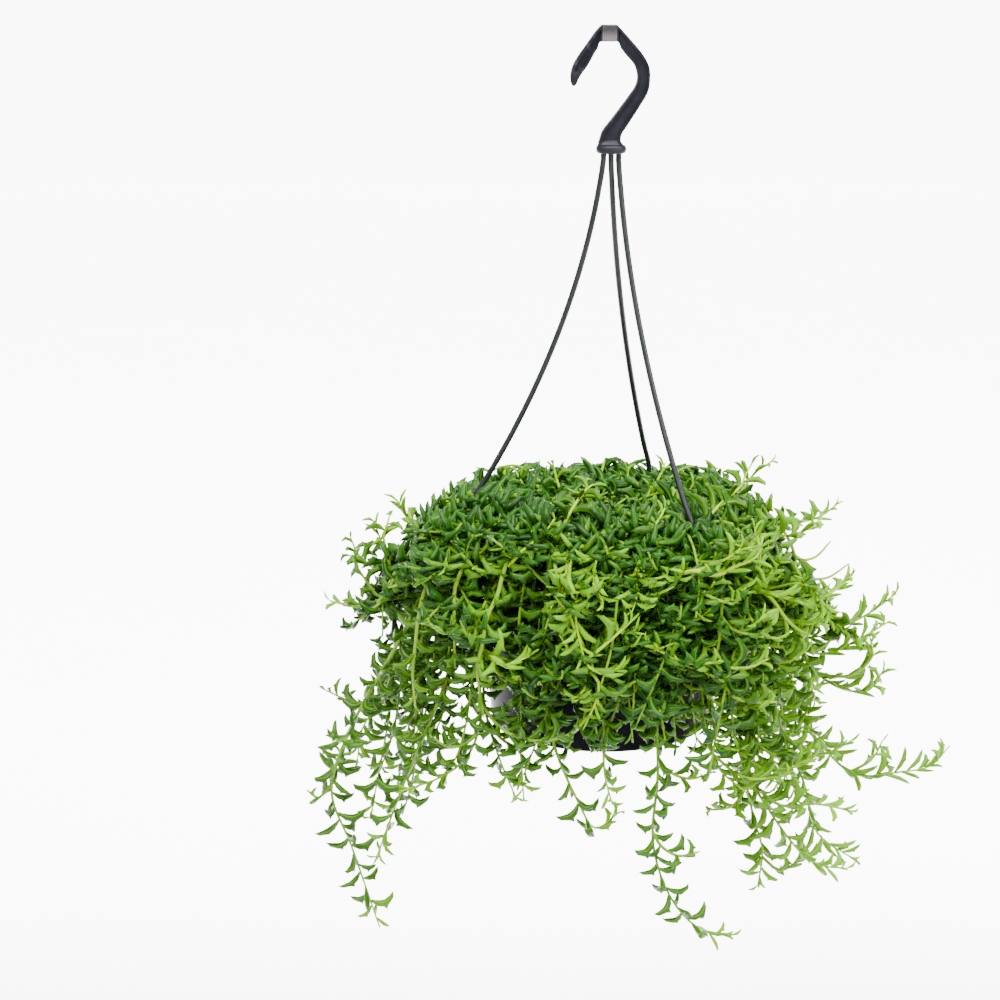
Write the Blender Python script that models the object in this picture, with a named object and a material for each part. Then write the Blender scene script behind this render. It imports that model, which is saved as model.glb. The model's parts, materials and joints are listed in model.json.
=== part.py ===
"""Hanging pot of string of dolphins: a plastic pot on a three-strand hanger, full of trailing stems.

Metres, +Z up. The origin is the middle of the flat saddle inside the top of the hook, where the
whole thing hangs. X runs to the right and Y runs away from the front.
"""

import math

import bmesh
import bpy
import numpy as np
from mathutils import Matrix, Vector
from mathutils.bvhtree import BVHTree

MM = 0.001
GAP = 0.3 * MM

# Pot
RIM_Z = -0.296
POT_HEIGHT = 0.1326
POT_BASE_RADIUS = 0.071
POT_RIM_RADIUS = 0.0815
POT_WALL = 0.0016
POT_FLOOR = 0.0024
POT_SIDES = 36
FLANGE_RADIUS = 0.0885
FLANGE_HEIGHT = 0.0024
BASE_CHAMFER = 0.0016

# Soil
SOIL_BELOW_RIM = 0.010
SOIL_RADIUS = 0.0778
ROOT_DEPTH = 0.008
HOLE_RADIUS = 0.0027
HOLE_SIDES = 4

# Hook and hanger
HOOK_THICKNESS = 0.0084
HOOK_RIM = 0.0011
HOOK_POCKET = 0.0024
COLLAR_X = 0.0018
COLLAR_TOP_Z = -0.0622
COLLAR_FOOT_Z = -0.0672
COLLAR_HALF_LENGTH = 0.0092
COLLAR_HALF_WIDTH = 0.0070
COLLAR_SIDES = 20
SOCKET_DEPTH = 0.0034
STRAND_RADIUS = 0.0016
STRAND_PITCH = 0.0046
STRAND_SIDES = 6
RING_RADIUS = 0.0850
RING_HOLE_RADIUS = 0.0021
BUTTON_RADIUS = 0.0034
BUTTON_HEIGHT = 0.0020
HANGER_AZIMUTHS = {"left": 187.3, "back": 67.3, "right": 307.3}

# Plant
STEM_RADIUS = 0.0015
SHOOT_RADIUS = 0.0013
STEM_TIP_RADIUS = 0.0008
STEM_SIDES = 3
STEM_TOLERANCE = 0.0013
LIP_TOLERANCE = 0.0008
LIP_POINTS = 12
STEM_LONGEST = 0.045
FINE_STEP = 0.005
LEAF_LENGTH = 0.0175
LEAF_DEPTH = 0.0024
LEAF_THICKNESS = 0.0016
LEAF_FIN = 0.0017
LEAF_STATIONS = (0.0, 0.34, 0.70, 1.0)
LEAF_GIRTHS = (0.0, 1.0, 0.86, 0.0)
LEAF_START = 34.0
LEAF_OPENING = 108.0
LEAF_VARIES = 30.0
INTERNODE = 0.0335
CROWN_INTERNODE = 0.0190
TRAIL_LEAF = 1.15
CROWN_LEAF = 1.60
MOUND_LEAF = 1.50
ARCH_GAIN = 0.55
ARCH_LENGTH = 0.100
LEAF_ROOT = 0.0004
CORE_SINK = 0.0018
BUNCH_FIRST = 0.098
CORE_OWNER = "core of "
LEAF_CLEARANCE = 0.0007
FLAT_ANGLE = math.radians(4.0)
STEM_CLEARANCE = 0.0056
LIP_RADIUS = 0.0985
LIP_HEIGHT = 0.0048
ROOT_RINGS = (0.0585, 0.0660, 0.0725)

# Each trailing stem: the azimuth in degrees where it crosses the rim, then its way from there, in
# millimetres from the middle of the rim (right, away, up). A side shoot's first point is its fork.
TRAILING = {
    "outer_left": (203, [(-130, -55, -69), (-158, -60, -120), (-171, -60, -162), (-159, -60, -200),
                         (-142, -60, -256)]),
    "left_mid": (193, [(-126, -22, -76), (-139, -28, -110), (-153, -30, -133), (-156, -30, -152)]),
    "left_inner": (209, [(-108, -58, -32), (-116, -66, -92), (-120, -66, -136)]),
    "left_cut": (215, [(-95, -78, -70), (-110, -82, -112), (-125, -82, -149), (-142, -82, -197)]),
    "left_swing": (221, [(-82, -82, -50), (-77, -90, -101), (-86, -92, -127), (-102, -92, -140),
                         (-126, -92, -149)]),
    "front_left_a": (226, [(-74, -76, -60), (-75, -78, -98), (-66, -80, -132), (-55, -80, -160)]),
    "front_left_b": (239, [(-53, -88, -40), (-54, -90, -100), (-51, -90, -154)]),
    "front_a": (250, [(-37, -97, -50), (-35, -98, -107), (-18, -98, -153), (-7, -98, -171), (8, -98, -160)]),
    "front_b": (268, [(-2, -103, -40), (-2, -101, -133), (3, -101, -154)]),
    "front_long": (286, [(27, -94, -60), (31, -92, -136), (29, -92, -185), (42, -92, -223),
                         (60, -92, -242), (79, -92, -246)]),
    "right_low": (301, [(55, -82, -60), (60, -82, -108), (68, -84, -136), (87, -84, -154)]),
    "right_hook": (313, [(72, -74, -60), (82, -76, -130), (99, -78, -164), (130, -78, -203),
                         (151, -78, -207)]),
    "right_short": (318.5, [(76, -64, -50), (84, -66, -91), (92, -64, -136)]),
    "right_long": (329, [(84, -54, -70), (86, -50, -140), (95, -50, -185), (101, -50, -207),
                         (99, -50, -231)]),
    "side_long": (340.5, [(107, -34, -80), (116, -32, -138), (128, -32, -168), (138, -32, -203),
                          (163, -32, -222)]),
    "side_curl": (346, [(112, -26, -60), (131, -30, -92), (152, -30, -106), (168, -28, -107),
                        (177, -28, -92)]),
    "far_reach": (357, [(112, -4, -70), (129, 0, -133), (145, 0, -158), (166, 0, -176), (196, 0, -174),
                        (214, 0, -170), (226, 0, -156)]),
    "side_short": (3, [(102, 6, -60), (106, 4, -140), (122, 2, -181)]),
    "top_left": (180.5, [(-118, -12, -24), (-131, -16, -34), (-138, -20, -16), (-144, -20, 2)]),
    "rim_left": (174, [(-112, 14, -16), (-124, 12, -6), (-131, 8, 8)]),
}
SIDE_SHOOTS = {
    "left_mid": [[(-112, -22, -30), (-126, -34, -42), (-139, -40, -42), (-150, -40, -28), (-158, -40, -14)]],
    "side_long": [[(102, -38, -46), (118, -42, -70), (136, -42, -78), (153, -42, -71), (177, -42, -56)]],
    "outer_left": [[(-170, -60, -158), (-179, -63, -166), (-186, -64, -160)]],
    "left_swing": [[(-77, -89, -90), (-66, -102, -103), (-48, -109, -109), (-23, -111, -104),
                    (-8, -111, -86)]],
    "right_low": [[(66, -83, -128), (84, -90, -141), (110, -90, -140)]],
    "right_hook": [[(92, -77, -150), (108, -84, -162), (129, -86, -160), (152, -86, -165)]],
    "right_long": [[(101, -50, -210), (112, -54, -219), (132, -54, -206)]],
    "side_curl": [[(137, -30, -96), (154, -37, -94), (167, -38, -82), (166, -40, -70)],
                  [(104, -20, -26), (126, -16, -56), (147, -18, -68), (166, -18, -60), (184, -18, -46)]],
    "far_reach": [[(162, 0, -174), (175, -6, -163), (181, -8, -149)]],
    "top_left": [[(-125, -14, -30), (-142, -30, -47), (-157, -32, -50), (-172, -32, -46)]],
    "right_short": [[(73, -64, -26), (78, -84, -24), (88, -92, -10), (90, -92, 8)],
                    [(75, -63, -34), (90, -62, -36), (108, -62, -36), (132, -60, -34), (150, -60, -20)]],
}

# Bunches: short stems that hang close to the wall, each thick with leaves below the rim.
# Azimuth in degrees, then hanging radius and lowest point in millimetres.
BUNCHES = {"a": (199, 98, -74), "b": (231.5, 98, -86), "c": (246, 97, -96), "d": (260.5, 98, -78),
           "e": (275, 99, -82), "f": (293, 98, -88), "g": (322, 98, -80), "h": (336, 98, -84),
           "i": (352, 98, -78), "j": (10, 98, -92), "k": (43, 98, -84), "l": (80, 98, -80),
           "m": (116, 98, -88), "n": (152, 98, -82)}
BUNCH_RADIUS = 0.0885
BUNCH_DROP = 0.031
BUNCH_HALF = (0.0056, 0.0108, 0.0250)
BUNCH_SIDES = 6
BUNCH_LEAVES = [(-0.62, 0.45), (0.25, 0.62), (-0.05, 0.05), (0.68, 0.10), (-0.70, -0.18), (0.35, -0.42),
                (-0.28, -0.60), (0.05, 0.95)]

# Stems at the back, in a fan that is longest at its two ends.
BACK_FIRST, BACK_LAST, BACK_COUNT = 21.0, 165.0, 9
BACK_MISSES = 6.5

# Crown: shoots that stand up or lean out from the low core: foot and tip in mm from the rim's middle.
CORE_RADIUS = 0.047
CORE_TOP = 0.003
CORE_LEAVES = 24
CORE_SIDES = 14
CROWN_LEANING = [
    [(40, -20, 4), (66, -20, 14), (84, -12, 18), (93, -10, 30), (104, -10, 38)],
    [(42, -6, 4), (72, -24, 13), (104, -32, 4), (131, -32, 8), (142, -32, 16)],
    [(-38, -6, 3), (-72, -12, 14), (-104, -12, 12)],
    [(-30, -30, 3), (-52, -70, 15), (-64, -92, 4)],
    [(6, -42, 3), (10, -88, 14), (4, -118, -12), (0, -120, -48), (-9, -118, -82)],
    [(-16, -38, 3), (-24, -84, 14), (-27, -114, -4), (-31, -116, -22)],
    [(26, -36, 3), (46, -84, 14), (52, -108, -6), (50, -114, -34)],
    [(30, 30, 3), (56, 62, 14), (74, 84, 6)],
    [(-30, 32, 3), (-54, 66, 14), (-74, 88, 4)],
    [(-2, 42, 3), (4, 84, 13), (6, 112, -4)],
]
CROWN_UPRIGHT = [(-56, 36, 20), (-32, 40, 25), (18, 50, 18), (41, 44, 22), (-60, -6, 14), (-12, 14, 20),
                 (4, -22, 16), (30, 4, 18), (-34, -28, 16), (58, 14, 18), (30, -44, 12), (-10, -50, 12)]


def draw(*keys):
    """A repeatable draw from 0 to 1 for a few whole numbers."""
    wave = math.sin(sum((key + 1.0) * step for key, step in zip(keys, (12.9898, 78.233, 37.719))))
    return (wave * 43758.5453) % 1.0


def polar(radius, azimuth, z):
    angle = math.radians(azimuth)
    return Vector((radius * math.cos(angle), radius * math.sin(angle), z))


def from_rim(point):
    """A point in millimetres from the middle of the rim, as a place in metres."""
    return Vector((point[0] * MM, point[1] * MM, RIM_Z + point[2] * MM))


def make_material(name, colour, roughness, metallic=0.0):
    material = bpy.data.materials.new(name)
    material.use_nodes = True
    shader = material.node_tree.nodes["Principled BSDF"]
    shader.inputs["Base Color"].default_value = (*colour, 1.0)
    shader.inputs["Roughness"].default_value = roughness
    shader.inputs["Metallic"].default_value = metallic
    return material


def add_object(name, mesh, material=None):
    piece = bpy.data.objects.new(name, mesh)
    bpy.context.collection.objects.link(piece)
    if material is not None:
        mesh.materials.clear()
        mesh.materials.append(material)
    return piece


def mesh_from(name, points, faces):
    """A mesh with its faces turned to point outwards."""
    bm = bmesh.new()
    corners = [bm.verts.new(point) for point in points]
    for face in faces:
        bm.faces.new([corners[index] for index in face])
    bmesh.ops.recalc_face_normals(bm, faces=bm.faces)
    if bm.calc_volume(signed=True) < 0.0:
        bmesh.ops.reverse_faces(bm, faces=bm.faces)
    mesh = bpy.data.meshes.new(name)
    bm.to_mesh(mesh)
    bm.free()
    return mesh


def smooth_shading(piece, degrees=35.0):
    piece.data.shade_smooth()
    piece.data.set_sharp_from_angle(angle=math.radians(degrees))


def turned(name, profile, sides, material):
    """A solid turned about the Z axis from a closed or axis-to-axis profile of (radius, z)."""
    points = []
    rings = []
    for radius, z in profile:
        if radius < 1e-6:
            rings.append([len(points)])
            points.append((0.0, 0.0, z))
        else:
            rings.append(list(range(len(points), len(points) + sides)))
            points += [tuple(polar(radius, 360.0 * k / sides, z)) for k in range(sides)]
    faces = []
    pairs = list(zip(rings, rings[1:]))
    if len(rings[0]) > 1 and len(rings[-1]) > 1:
        pairs.append((rings[-1], rings[0]))
    for upper, lower in pairs:
        for k in range(sides):
            quad = [upper[k % len(upper)], upper[(k + 1) % len(upper)],
                    lower[(k + 1) % len(lower)], lower[k % len(lower)]]
            faces.append(list(dict.fromkeys(quad)))
    piece = add_object(name, mesh_from(name, points, faces), material)
    smooth_shading(piece)
    return piece


def apply_boolean(piece, cutters, operation):
    """One Boolean with every cutter, applied, after which the cutters are removed."""
    group = bpy.data.collections.new("operands")
    bpy.context.scene.collection.children.link(group)
    for cutter in cutters:
        for owner in list(cutter.users_collection):
            owner.objects.unlink(cutter)
        group.objects.link(cutter)
    modifier = piece.modifiers.new("join", "BOOLEAN")
    modifier.operation = operation
    modifier.operand_type = "COLLECTION"
    modifier.collection = group
    modifier.solver = "EXACT"
    graph = bpy.context.evaluated_depsgraph_get()
    result = bpy.data.meshes.new_from_object(piece.evaluated_get(graph))
    piece.modifiers.clear()
    piece.data = result
    for cutter in list(group.objects):
        bpy.data.objects.remove(cutter)
    bpy.data.collections.remove(group)


def clean_body(mesh):
    """Keep the largest body of a union, without the needless corners on its flat faces."""
    bm = bmesh.new()
    bm.from_mesh(mesh)
    left = set(bm.verts)
    bodies = []
    while left:
        body = {left.pop()}
        edge = list(body)
        while edge:
            vert = edge.pop()
            fresh = {link.other_vert(vert) for link in vert.link_edges} & left
            left -= fresh
            body |= fresh
            edge += list(fresh)
        bodies.append(body)
    bodies.sort(key=len, reverse=True)
    for body in bodies[1:]:
        bmesh.ops.delete(bm, geom=list(body), context="VERTS")
    bmesh.ops.dissolve_limit(bm, angle_limit=FLAT_ANGLE, use_dissolve_boundaries=False,
                             verts=bm.verts, edges=bm.edges)
    bm.to_mesh(mesh)
    bm.free()


def smooth_route(points, step):
    """Points about one step apart on a smooth curve through the given points."""
    ends = [points[0] * 2.0 - points[1]] + list(points) + [points[-1] * 2.0 - points[-2]]
    route = [points[0]]
    for before, start, end, after in zip(ends, ends[1:], ends[2:], ends[3:]):
        knots = [0.0]
        for first, second in ((before, start), (start, end), (end, after)):
            knots.append(knots[-1] + max(math.sqrt((second - first).length), 1e-6))
        count = max(1, round((end - start).length / step))
        for index in range(1, count + 1):
            share = index / count
            t = knots[1] + (knots[2] - knots[1]) * share
            inner = start.lerp(end, share)
            left = before.lerp(start, t / knots[1]).lerp(inner, t / knots[2])
            right = inner.lerp(end.lerp(after, (t - knots[2]) / (knots[3] - knots[2])),
                               (t - knots[1]) / (knots[3] - knots[1]))
            route.append(left.lerp(right, share))
    return route


def frames_along(route):
    """Tangent and a steady side direction at each point of a route."""
    frames = []
    side = None
    for index, point in enumerate(route):
        ahead = route[min(index + 1, len(route) - 1)] - route[max(index - 1, 0)]
        tangent = ahead.normalized()
        if side is None:
            guide = Vector((0.0, 0.0, 1.0)) if abs(tangent.z) < 0.8 else Vector((0.31, 0.95, 0.0))
            side = guide.cross(tangent).normalized()
        side = (side - tangent * side.dot(tangent)).normalized()
        frames.append((tangent, side))
    return frames


def tube(name, route, radii, sides):
    """A closed tube along a route, its ends capped flat."""
    points = []
    faces = []
    for point, (tangent, side), radius in zip(route, frames_along(route), radii):
        other = tangent.cross(side)
        for k in range(sides):
            angle = 2.0 * math.pi * k / sides
            points.append(point + (side * math.cos(angle) + other * math.sin(angle)) * radius)
    for ring in range(len(route) - 1):
        for k in range(sides):
            a = ring * sides + k
            b = ring * sides + (k + 1) % sides
            faces.append([a, b, b + sides, a + sides])
    faces.append(list(range(sides)))
    faces.append(list(range(len(points) - sides, len(points))))
    return mesh_from(name, points, faces)


def leaf_shape(foot, tangent, outward, scale, opening, grow=0.0):
    """Points and faces of one leaf: a three-sided crescent with a fin on its outer curve.

    The leaf leaves its stem on the slant towards the growing tip and curves back, so that the
    convex, finned side faces the tip. It narrows to a point at both ends, and the one at its foot
    is sunk in the stem.
    """
    across = tangent.cross(outward)
    length = LEAF_LENGTH * scale
    start, end = math.radians(LEAF_START), math.radians(LEAF_START + opening)
    place = foot - outward * LEAF_ROOT
    spine = [place.copy()]
    crests = []
    steps = 4
    for station, following in zip(LEAF_STATIONS, LEAF_STATIONS[1:]):
        angle = start + (end - start) * station
        crests.append(tangent * math.sin(angle) - outward * math.cos(angle))
        span = following - station
        for k in range(steps):
            part = start + (end - start) * (station + span * (k + 0.5) / steps)
            place = place + (tangent * math.cos(part) + outward * math.sin(part)) * (length * span / steps)
        spine.append(place.copy())
    points = [spine[0]]
    for centre, crest, girth in zip(spine[1:3], crests[1:3], LEAF_GIRTHS[1:3]):
        half = LEAF_DEPTH * girth * scale + grow
        wide = LEAF_THICKNESS * girth * scale + grow
        points.append(centre + crest * half)
        points.append(centre - crest * half * 0.75 + across * wide)
        points.append(centre - crest * half * 0.75 - across * wide)
    points.append(spine[3] + (spine[3] - spine[2]).normalized() * grow)
    crest = (crests[1] + crests[2]).normalized()
    rise = (LEAF_DEPTH + LEAF_FIN) * scale + grow
    points.append((spine[1] + spine[2]) * 0.5 + crest * rise + (spine[2] - spine[1]) * 0.12)
    tip, fin = 7, 8
    faces = [[0, 1, 2], [0, 2, 3], [0, 3, 1], [2, 5, 6, 3],
             [1, fin, 2], [2, fin, 5], [fin, 4, 5], [1, 3, fin], [3, 6, fin], [fin, 6, 4],
             [4, tip, 5], [5, tip, 6], [6, tip, 4]]
    return points, faces


class Neighbours:
    """Everything already placed, so that a new leaf can be tried against it."""

    def __init__(self):
        self.lows = np.zeros((0, 3))
        self.highs = np.zeros((0, 3))
        self.trees = []
        self.owners = []

    def add(self, points, faces, owner):
        cloud = np.array([tuple(point) for point in points])
        self.lows = np.vstack([self.lows, cloud.min(axis=0)])
        self.highs = np.vstack([self.highs, cloud.max(axis=0)])
        self.trees.append(BVHTree.FromPolygons([tuple(point) for point in points], faces))
        self.owners.append(owner)

    def add_mesh(self, mesh, owner):
        self.add([vert.co.copy() for vert in mesh.vertices], [list(face.vertices) for face in mesh.polygons],
                 owner)

    def is_clear(self, points, faces, skips=()):
        cloud = np.array([tuple(point) for point in points])
        low, high = cloud.min(axis=0), cloud.max(axis=0)
        near = np.nonzero(np.all(self.lows <= high, axis=1) & np.all(self.highs >= low, axis=1))[0]
        tree = BVHTree.FromPolygons([tuple(point) for point in points], faces)
        return not any(self.owners[k] not in skips and self.trees[k].overlap(tree) for k in near)


def pot_radius(z):
    """Outer radius of the pot's wall at a height."""
    share = (z - (RIM_Z - POT_HEIGHT)) / POT_HEIGHT
    return POT_BASE_RADIUS + (POT_RIM_RADIUS - POT_BASE_RADIUS) * share


def make_pot(material):
    foot = RIM_Z - POT_HEIGHT
    under = RIM_Z - FLANGE_HEIGHT
    floor = foot + POT_FLOOR
    profile = [(0.0, floor), (pot_radius(floor) - POT_WALL, floor), (POT_RIM_RADIUS - POT_WALL, RIM_Z),
               (FLANGE_RADIUS, RIM_Z), (FLANGE_RADIUS, under), (pot_radius(under), under),
               (pot_radius(foot + BASE_CHAMFER), foot + BASE_CHAMFER),
               (POT_BASE_RADIUS - BASE_CHAMFER, foot), (0.0, foot)]
    pot = turned("pot", profile, POT_SIDES, material)
    cutters = []
    for azimuth in HANGER_AZIMUTHS.values():
        top = polar(RING_RADIUS, azimuth, RIM_Z + 0.004)
        bottom = polar(RING_RADIUS, azimuth, under - 0.004)
        cutters.append(add_object("hole", tube("hole", [bottom, top], [RING_HOLE_RADIUS] * 2, 12)))
    apply_boolean(pot, cutters, "DIFFERENCE")
    return pot


def make_soil(material, roots):
    """The plug of soil, with a plain hole for each rooted stem."""
    top = RIM_Z - SOIL_BELOW_RIM
    foot = RIM_Z - POT_HEIGHT + POT_FLOOR + GAP
    slope = POT_WALL + GAP * 1.5
    profile = [(0.0, top + 0.001), (SOIL_RADIUS * 0.6, top + 0.001), (pot_radius(top) - slope, top),
               (pot_radius(foot) - slope, foot), (0.0, foot)]
    soil = turned("soil", profile, POT_SIDES, material)
    cutters = []
    for root in roots:
        bottom = Vector((root.x, root.y, top - ROOT_DEPTH - GAP))
        cutters.append(add_object("hole", tube("hole", [bottom, bottom + Vector((0.0, 0.0, 0.02))],
                                               [HOLE_RADIUS] * 2, HOLE_SIDES)))
    apply_boolean(soil, cutters, "DIFFERENCE")
    return soil


def hook_outlines():
    """The hook's three regions seen from the front, as (x, z) outlines in millimetres."""
    left = [(-4.4, 9.6), (-8.0, 5.9), (-14.0, -2.5), (-20.2, -11.5), (-22.6, -16.9), (-23.3, -22.3),
            (-21.8, -26.6), (-19.6, -25.0), (-17.8, -21.1), (-12.8, -13.9), (-9.2, -7.3), (-5.8, -2.2),
            (-4.4, 0.0)]
    right = [(4.4, 0.0), (5.6, -2.2), (9.3, -7.3), (14.1, -12.7), (16.1, -16.9), (16.9, -22.3),
             (15.5, -27.7), (12.7, -31.9), (6.6, -40.3), (-0.2, -49.3), (-3.8, -54.1), (-5.8, -60.1),
             (-6.4, -62.6), (8.6, -62.6), (7.5, -58.9), (8.0, -55.3), (11.4, -49.9), (17.5, -40.3),
             (23.1, -30.7), (24.3, -26.0), (24.5, -18.1), (23.4, -13.3), (20.1, -7.9), (13.4, 0.0),
             (7.0, 7.0), (4.4, 9.6)]
    saddle = [(-4.4, 9.6), (-4.4, 0.0), (4.4, 0.0), (4.4, 9.6)]
    return left, saddle, right


def make_hook(material):
    """A flat hook with a pocket in both faces of each arm, a plain saddle and a collar below."""
    bm = bmesh.new()
    corners = {}
    for outline in hook_outlines():
        ring = []
        for x, z in outline:
            key = (x, z)
            if key not in corners:
                corners[key] = bm.verts.new((x * MM, -HOOK_THICKNESS / 2.0, z * MM))
            ring.append(corners[key])
        bm.faces.new(ring)
    bmesh.ops.recalc_face_normals(bm, faces=bm.faces)
    front = list(bm.faces)
    made = bmesh.ops.extrude_face_region(bm, geom=front)
    moved = [item for item in made["geom"] if isinstance(item, bmesh.types.BMVert)]
    bmesh.ops.translate(bm, verts=moved, vec=(0.0, HOOK_THICKNESS, 0.0))
    bmesh.ops.recalc_face_normals(bm, faces=bm.faces)
    arms = [face for face in bm.faces if abs(face.normal.y) > 0.9 and len(face.verts) > 6]
    bmesh.ops.inset_individual(bm, faces=arms, thickness=HOOK_RIM, depth=0.0, use_even_offset=True)
    for face in arms:
        push = Vector((0.0, -math.copysign(HOOK_POCKET, face.normal.y), 0.0))
        made = bmesh.ops.inset_individual(bm, faces=[face], thickness=0.25 * MM, depth=0.0)
        bmesh.ops.translate(bm, verts=face.verts, vec=push)
    mesh = bpy.data.meshes.new("hook")
    bm.to_mesh(mesh)
    bm.free()
    hook = add_object("hook", mesh, material)
    collar_ring = []
    for k in range(COLLAR_SIDES):
        angle = 2.0 * math.pi * k / COLLAR_SIDES
        collar_ring.append((COLLAR_X + COLLAR_HALF_LENGTH * math.cos(angle),
                            COLLAR_HALF_WIDTH * math.sin(angle)))
    points = [(x, y, z) for z in (COLLAR_FOOT_Z, COLLAR_TOP_Z) for x, y in collar_ring]
    faces = []
    for k in range(COLLAR_SIDES):
        after = (k + 1) % COLLAR_SIDES
        faces.append([k, after, COLLAR_SIDES + after, COLLAR_SIDES + k])
    faces += [list(range(COLLAR_SIDES)), list(range(COLLAR_SIDES, 2 * COLLAR_SIDES))]
    collar = add_object("collar", mesh_from("collar", points, faces))
    apply_boolean(hook, [collar], "UNION")
    sockets = []
    for azimuth in HANGER_AZIMUTHS.values():
        seat = strand_top(azimuth)
        below = Vector((seat.x, seat.y, COLLAR_FOOT_Z - 0.002))
        sockets.append(add_object("socket", tube("socket", [below, seat + Vector((0, 0, GAP))],
                                                 [STRAND_RADIUS + GAP * 1.2] * 2, 12)))
    apply_boolean(hook, sockets, "DIFFERENCE")
    smooth_shading(hook)
    return hook


def strand_top(azimuth):
    """Where a hanger strand ends: the three sockets stand in a row along the collar."""
    order = sorted(HANGER_AZIMUTHS.values(), key=lambda each: math.cos(math.radians(each))).index(azimuth)
    return Vector((COLLAR_X + STRAND_PITCH * (order - 1), 0.0, COLLAR_FOOT_Z + SOCKET_DEPTH))


def hanger_route(azimuth):
    """From the collar straight down, then bowed out to the rim hole and down through the flange."""
    top = strand_top(azimuth)
    foot = polar(RING_RADIUS, azimuth, RIM_Z + 0.010)
    drop = COLLAR_FOOT_Z - 0.004 - foot.z
    route = [top]
    start = Vector((top.x, top.y, COLLAR_FOOT_Z - 0.004))
    for index in range(13):
        t = index / 12.0
        level = start.lerp(foot, 0.33 * t + 0.67 * t * t)
        route.append(Vector((level.x, level.y, start.z - drop * t)))
    route.append(polar(RING_RADIUS, azimuth, RIM_Z - FLANGE_HEIGHT - GAP - BUTTON_HEIGHT * 0.5))
    return route


def make_hanger(name, azimuth, material):
    route = hanger_route(azimuth)
    strand = add_object(name, tube(name, route, [STRAND_RADIUS] * len(route), STRAND_SIDES), material)
    top = polar(RING_RADIUS, azimuth, RIM_Z - FLANGE_HEIGHT - GAP)
    foot = top - Vector((0.0, 0.0, BUTTON_HEIGHT))
    button = add_object("button", tube("button", [foot, top], [BUTTON_RADIUS * 0.8, BUTTON_RADIUS], 10))
    apply_boolean(strand, [button], "UNION")
    strand.data.materials.clear()
    strand.data.materials.append(material)
    smooth_shading(strand)
    return strand


def rooted_route(azimuth, ring, way):
    """Up out of its hole in the soil, over the rim and on along its own way."""
    soil_top = RIM_Z - SOIL_BELOW_RIM
    root = ROOT_RINGS[ring % len(ROOT_RINGS)]
    start = [polar(root, azimuth, soil_top - ROOT_DEPTH), polar(root, azimuth, soil_top - ROOT_DEPTH / 3.0),
             polar(root, azimuth, soil_top + 0.0025), polar(root + 0.0012, azimuth, RIM_Z - 0.0005),
             polar((root + LIP_RADIUS) / 2.0 + 0.0015, azimuth, RIM_Z + LIP_HEIGHT),
             polar(LIP_RADIUS, azimuth, RIM_Z + LIP_HEIGHT * 0.4)]
    return start + [from_rim(point) for point in way]


def bunch_way(order, azimuth, radius, lowest):
    """A bunch's stem dives in below the rim, through its core, and hangs on under it."""
    sway = 5.0 * (draw(order, 3) - 0.5)
    core = BUNCH_RADIUS / MM
    return [tuple(polar(radius, azimuth, -7.0)), tuple(polar(core + 2.0, azimuth, -20.0)),
            tuple(polar(core + 1.0, azimuth, -44.0)), tuple(polar(core + 6.0, azimuth + sway, -66.0)),
            tuple(polar(radius, azimuth + sway * 1.6, lowest))]


def back_way(order, azimuth):
    """A stem of the back fan: out over the rim, down, and further out near its tip."""
    ends = abs(math.cos(math.radians(azimuth)))
    belly = 112.0 + 26.0 * ends * (0.6 + 0.4 * draw(order, 5))
    lowest = -(110.0 + 90.0 * draw(order, 6) + 40.0 * ends)
    turn = 14.0 * (draw(order, 7) - 0.5)
    return [tuple(polar(belly, azimuth + turn * 0.2, -34.0)),
            tuple(polar(belly + 14.0 * ends, azimuth + turn * 0.6, lowest * 0.6)),
            tuple(polar(belly + 10.0 + 24.0 * ends, azimuth + turn, lowest))]


def back_azimuths():
    step = (BACK_LAST - BACK_FIRST) / (BACK_COUNT - 1)
    strand = HANGER_AZIMUTHS["back"]
    azimuths = []
    for k in range(BACK_COUNT):
        azimuth = BACK_FIRST + step * k
        if abs(azimuth - strand) < BACK_MISSES:
            azimuth += math.copysign(BACK_MISSES, azimuth - strand)
        azimuths.append(azimuth)
    return azimuths


def main_stems():
    """Every rooted stem of the plant, as (node name, route)."""
    stems = []
    for order, (name, (azimuth, way)) in enumerate(TRAILING.items()):
        stems.append(("trail_" + name, smooth_route(rooted_route(azimuth, order, way), FINE_STEP)))
    for order, (name, (azimuth, radius, lowest)) in enumerate(BUNCHES.items()):
        way = bunch_way(order, azimuth, radius, lowest)
        stems.append(("bunch_" + name, smooth_route(rooted_route(azimuth, order + 1, way), FINE_STEP)))
    for order, azimuth in enumerate(back_azimuths()):
        way = back_way(order, azimuth)
        stems.append(("back_%02d" % (order + 1), smooth_route(rooted_route(azimuth, order, way), FINE_STEP)))
    return stems


def side_stems(stems):
    """The side shoots, each from a fork on a stem that already has its final route."""
    shoots = []
    for name, main_route in stems:
        for way in SIDE_SHOOTS.get(name.replace("trail_", ""), []):
            fork = min(main_route, key=lambda point: (point - from_rim(way[0])).length)
            shoots.append((name, smooth_route([fork] + [from_rim(point) for point in way[1:]], FINE_STEP)))
    return shoots


def crown_stems():
    stems = []
    for way in CROWN_LEANING:
        foot = (way[0][0] * 0.55, way[0][1] * 0.55, way[0][2] - 9.0)
        stems.append(("crown", smooth_route([from_rim(point) for point in [foot] + way], FINE_STEP)))
    for x, y, z in CROWN_UPRIGHT:
        way = [(x * 0.6, y * 0.6, -6.0), (x * 0.86, y * 0.86, z * 0.35), (x, y, z)]
        stems.append(("crown", smooth_route([from_rim(point) for point in way], FINE_STEP)))
    return stems


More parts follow.
